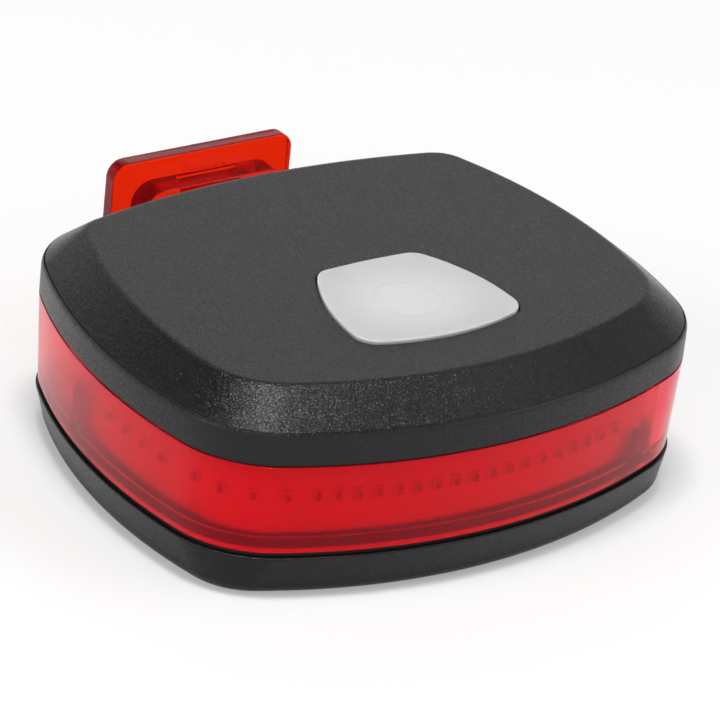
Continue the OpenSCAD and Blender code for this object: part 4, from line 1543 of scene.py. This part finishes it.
class REARLIGHT_OT_inside(RearLightStep):
    """Finishes of the solids that stay as they are: board, chips, cell, leads, socket and screws"""

    bl_idname = "rear_light.inside"
    bl_label = "Inside"

    def build(self, context):
        repaint(context, "circuit_board", "main_board")
        repaint(context, "lamp_chip", "indicator_leds")
        repaint(context, "dark_parts", "controller_chip", "charger_chip", "power_coil", "usb_core")
        repaint(context, "ceramic", "capacitors")
        repaint(context, "steel", "usb_shell", "case_screws", "board_screws")
        repaint(context, "cell_foil", "battery")
        repaint(context, "black_rubber", "battery_tape")
        repaint(context, "red_wire", "lead_red")
        repaint(context, "black_wire", "lead_black")


class REARLIGHT_OT_seals(RearLightStep):
    """Black rubber seals that fill the two seams beside the red band, partly painted shade: their outer
    part stands where the seams show only shade
    """

    bl_idname = "rear_light.seals"
    bl_label = "Seals"

    def build(self, context):
        body, band = context.scene.rear_light_body, context.scene.rear_light_band
        form = body_form(body)
        inner = band.wall - band.rebate - band.edge
        # The seals reach out to the seams' mouths; their black there is painted shade for the seams.
        for node, outer, low_z, high_z in (
            ("cover_seal", band.seal_in, body.band_high, body.cap_low),
            ("base_seal", band.seal_in + band.draft, body.tray_top, body.band_low - band.seal_gap),
        ):
            profile = [(inner, low_z), (outer, low_z), (outer, high_z), (inner, high_z)]
            soft = (high_z - low_z) / 4
            rings = soften(rings_of(form, profile), [soft] * len(profile))
            seal = skin(node + "_rubber", rings, closed=True)
            dress(seal, finishes(context)["black_rubber"], "housing", "black_rubber", node)


class Lamp(NamedTuple):
    """A lamp of the stage: direction from the middle, distance and size in metres, name of its power."""

    name: str
    direction: tuple
    distance: float
    width: float
    depth: float
    power: str


LAMPS = (
    Lamp("Overhead", (-0.13, -0.13, 0.98), 0.6, 0.18, 0.12, "overhead"),
    Lamp("Behind", (0.42, 0.62, 0.66), 0.9, 0.9, 0.5, "behind"),
    Lamp("Front", (-0.5, -0.8, 0.42), 0.9, 0.7, 0.5, "fill"),
    Lamp("Left", (-0.88, 0.05, 0.47), 0.9, 0.5, 0.4, "left"),
    Lamp("Right", (0.58, -0.75, 0.32), 0.9, 0.5, 0.4, "right"),
    Lamp("Slope", (0.5, -0.27, 0.82), 0.9, 0.4, 0.3, "slope"),
)


class REARLIGHT_OT_stage(RearLightStep):
    """Pale floor, soft lamps, surroundings and the camera"""

    bl_idname = "rear_light.stage"
    bl_label = "Stage"

    def build(self, context):
        stage = context.scene.rear_light_stage
        context.scene.view_settings.view_transform = "Standard"
        self.floor(stage)
        self.surroundings(context.scene, stage)
        for lamp in LAMPS:
            self.lamp(lamp, getattr(stage, lamp.power))
        self.camera(context.scene, stage)

    @staticmethod
    def floor(stage):
        """Pale floor that is lifted in view and in reflections, but doesn't light the object more."""
        half = stage.floor_size / 2
        corners = [(-half, -half), (half, -half), (half, half), (-half, half)]
        points = [(x, y, -stage.floor_drop) for x, y in corners]
        floor = new_object("floor", points, [(0, 1, 2, 3)])
        material, tree, out = new_material("Pale floor")
        pale = add(tree, "ShaderNodeBsdfDiffuse", {"Color": rgba([stage.floor] * 3)})
        path = add(tree, "ShaderNodeLightPath").outputs
        seen = number(tree, "MAXIMUM", path["Is Camera Ray"], path["Is Glossy Ray"])
        shown = number(tree, "MAXIMUM", seen, path["Is Transmission Ray"])
        strength = number(tree, "MULTIPLY", shown, stage.lift)
        glow = add(tree, "ShaderNodeEmission", {"Strength": strength})
        both = add(tree, "ShaderNodeAddShader", {0: pale.outputs["BSDF"], 1: glow.outputs["Emission"]})
        tree.links.new(both.outputs["Shader"], out.inputs["Surface"])
        floor.data.materials.append(material)

    @staticmethod
    def surroundings(scene, stage):
        """White near the horizon, dim overhead."""
        world = bpy.data.worlds.new("Surroundings")
        world.use_nodes = True
        tree = world.node_tree
        tree.nodes.clear()
        direction = add(tree, "ShaderNodeTexCoord").outputs["Generated"]
        fade = ramp(
            tree,
            parts_of(tree, direction)["Z"],
            stage.horizon,
            stage.zenith,
            stage.backdrop,
            stage.ceiling,
            interpolation_type="SMOOTHSTEP",
        )
        light = add(tree, "ShaderNodeBackground", {"Strength": fade})
        out = add(tree, "ShaderNodeOutputWorld")
        tree.links.new(light.outputs["Background"], out.inputs["Surface"])
        scene.world = world

    @staticmethod
    def lamp(lamp, power):
        """A soft lamp that looks at the middle."""
        data = bpy.data.lights.new(lamp.name, "AREA")
        data.shape = "RECTANGLE"
        data.size = lamp.width
        data.size_y = lamp.depth
        data.energy = power
        toward_lamp = Vector(lamp.direction).normalized()
        made = link(lamp.name, data)
        made.location = toward_lamp * lamp.distance
        made.rotation_euler = toward_lamp.to_track_quat("Z", "Y").to_euler()

    @staticmethod
    def camera(scene, stage):
        """Camera that looks at the target from its bearing and height angle, with its roll."""
        az, el, roll = stage.azimuth, stage.elevation, stage.roll
        back = Vector((math.sin(az) * math.cos(el), -math.cos(az) * math.cos(el), math.sin(el)))
        right = Vector((0, 0, 1)).cross(back).normalized()
        up = back.cross(right)
        across = right * math.cos(roll) + up * math.sin(roll)
        upward = up * math.cos(roll) - right * math.sin(roll)
        data = bpy.data.cameras.new("Camera")
        data.lens = stage.focal_length
        data.sensor_width = SENSOR_WIDTH
        data.shift_x = stage.shift_x
        data.shift_y = stage.shift_y
        data.clip_start = NEAREST
        camera = link("Camera", data)
        place_of = Vector((0, 0, stage.target_height)) + back * stage.distance
        turned = Matrix((across, upward, back)).transposed().to_4x4()
        camera.matrix_world = Matrix.Translation(place_of) @ turned
        scene.camera = camera


class REARLIGHT_PT_panel(Panel):
    """Steps of building the rear light"""

    bl_idname = "REARLIGHT_PT_panel"
    bl_label = "Rear light"
    bl_space_type = "VIEW_3D"
    bl_region_type = "UI"
    bl_category = "Rear light"

    def draw(self, context):
        for step in STEPS:
            self.layout.operator(step.bl_idname)
        for name in PROPERTIES:
            settings = getattr(context.scene, name)
            box = self.layout.box()
            for key in settings.__annotations__:
                box.prop(settings, key)


STEPS = (
    REARLIGHT_OT_stage,
    REARLIGHT_OT_cap,
    REARLIGHT_OT_band,
    REARLIGHT_OT_tray,
    REARLIGHT_OT_button,
    REARLIGHT_OT_lamps,
    REARLIGHT_OT_port_door,
    REARLIGHT_OT_seals,
    REARLIGHT_OT_inside,
)

PROPERTIES = {
    "rear_light_body": RearLightBody,
    "rear_light_cap": RearLightCap,
    "rear_light_button": RearLightButton,
    "rear_light_band": RearLightBand,
    "rear_light_tray": RearLightTray,
    "rear_light_door": RearLightDoor,
    "rear_light_lamps": RearLightLamps,
    "rear_light_colours": RearLightColours,
    "rear_light_stage": RearLightStage,
}


def register():
    for name, kind in PROPERTIES.items():
        bpy.utils.register_class(kind)
        setattr(bpy.types.Scene, name, PointerProperty(type=kind))
    for kind in (*STEPS, REARLIGHT_PT_panel):
        bpy.utils.register_class(kind)


def unregister():
    for kind in reversed((*STEPS, REARLIGHT_PT_panel)):
        bpy.utils.unregister_class(kind)
    for name, kind in PROPERTIES.items():
        delattr(bpy.types.Scene, name)
        bpy.utils.unregister_class(kind)


def main():
    register()
    for step in STEPS:
        family, action = step.bl_idname.split(".")
        getattr(getattr(bpy.ops, family), action)()


if __name__ == "__main__":
    main()
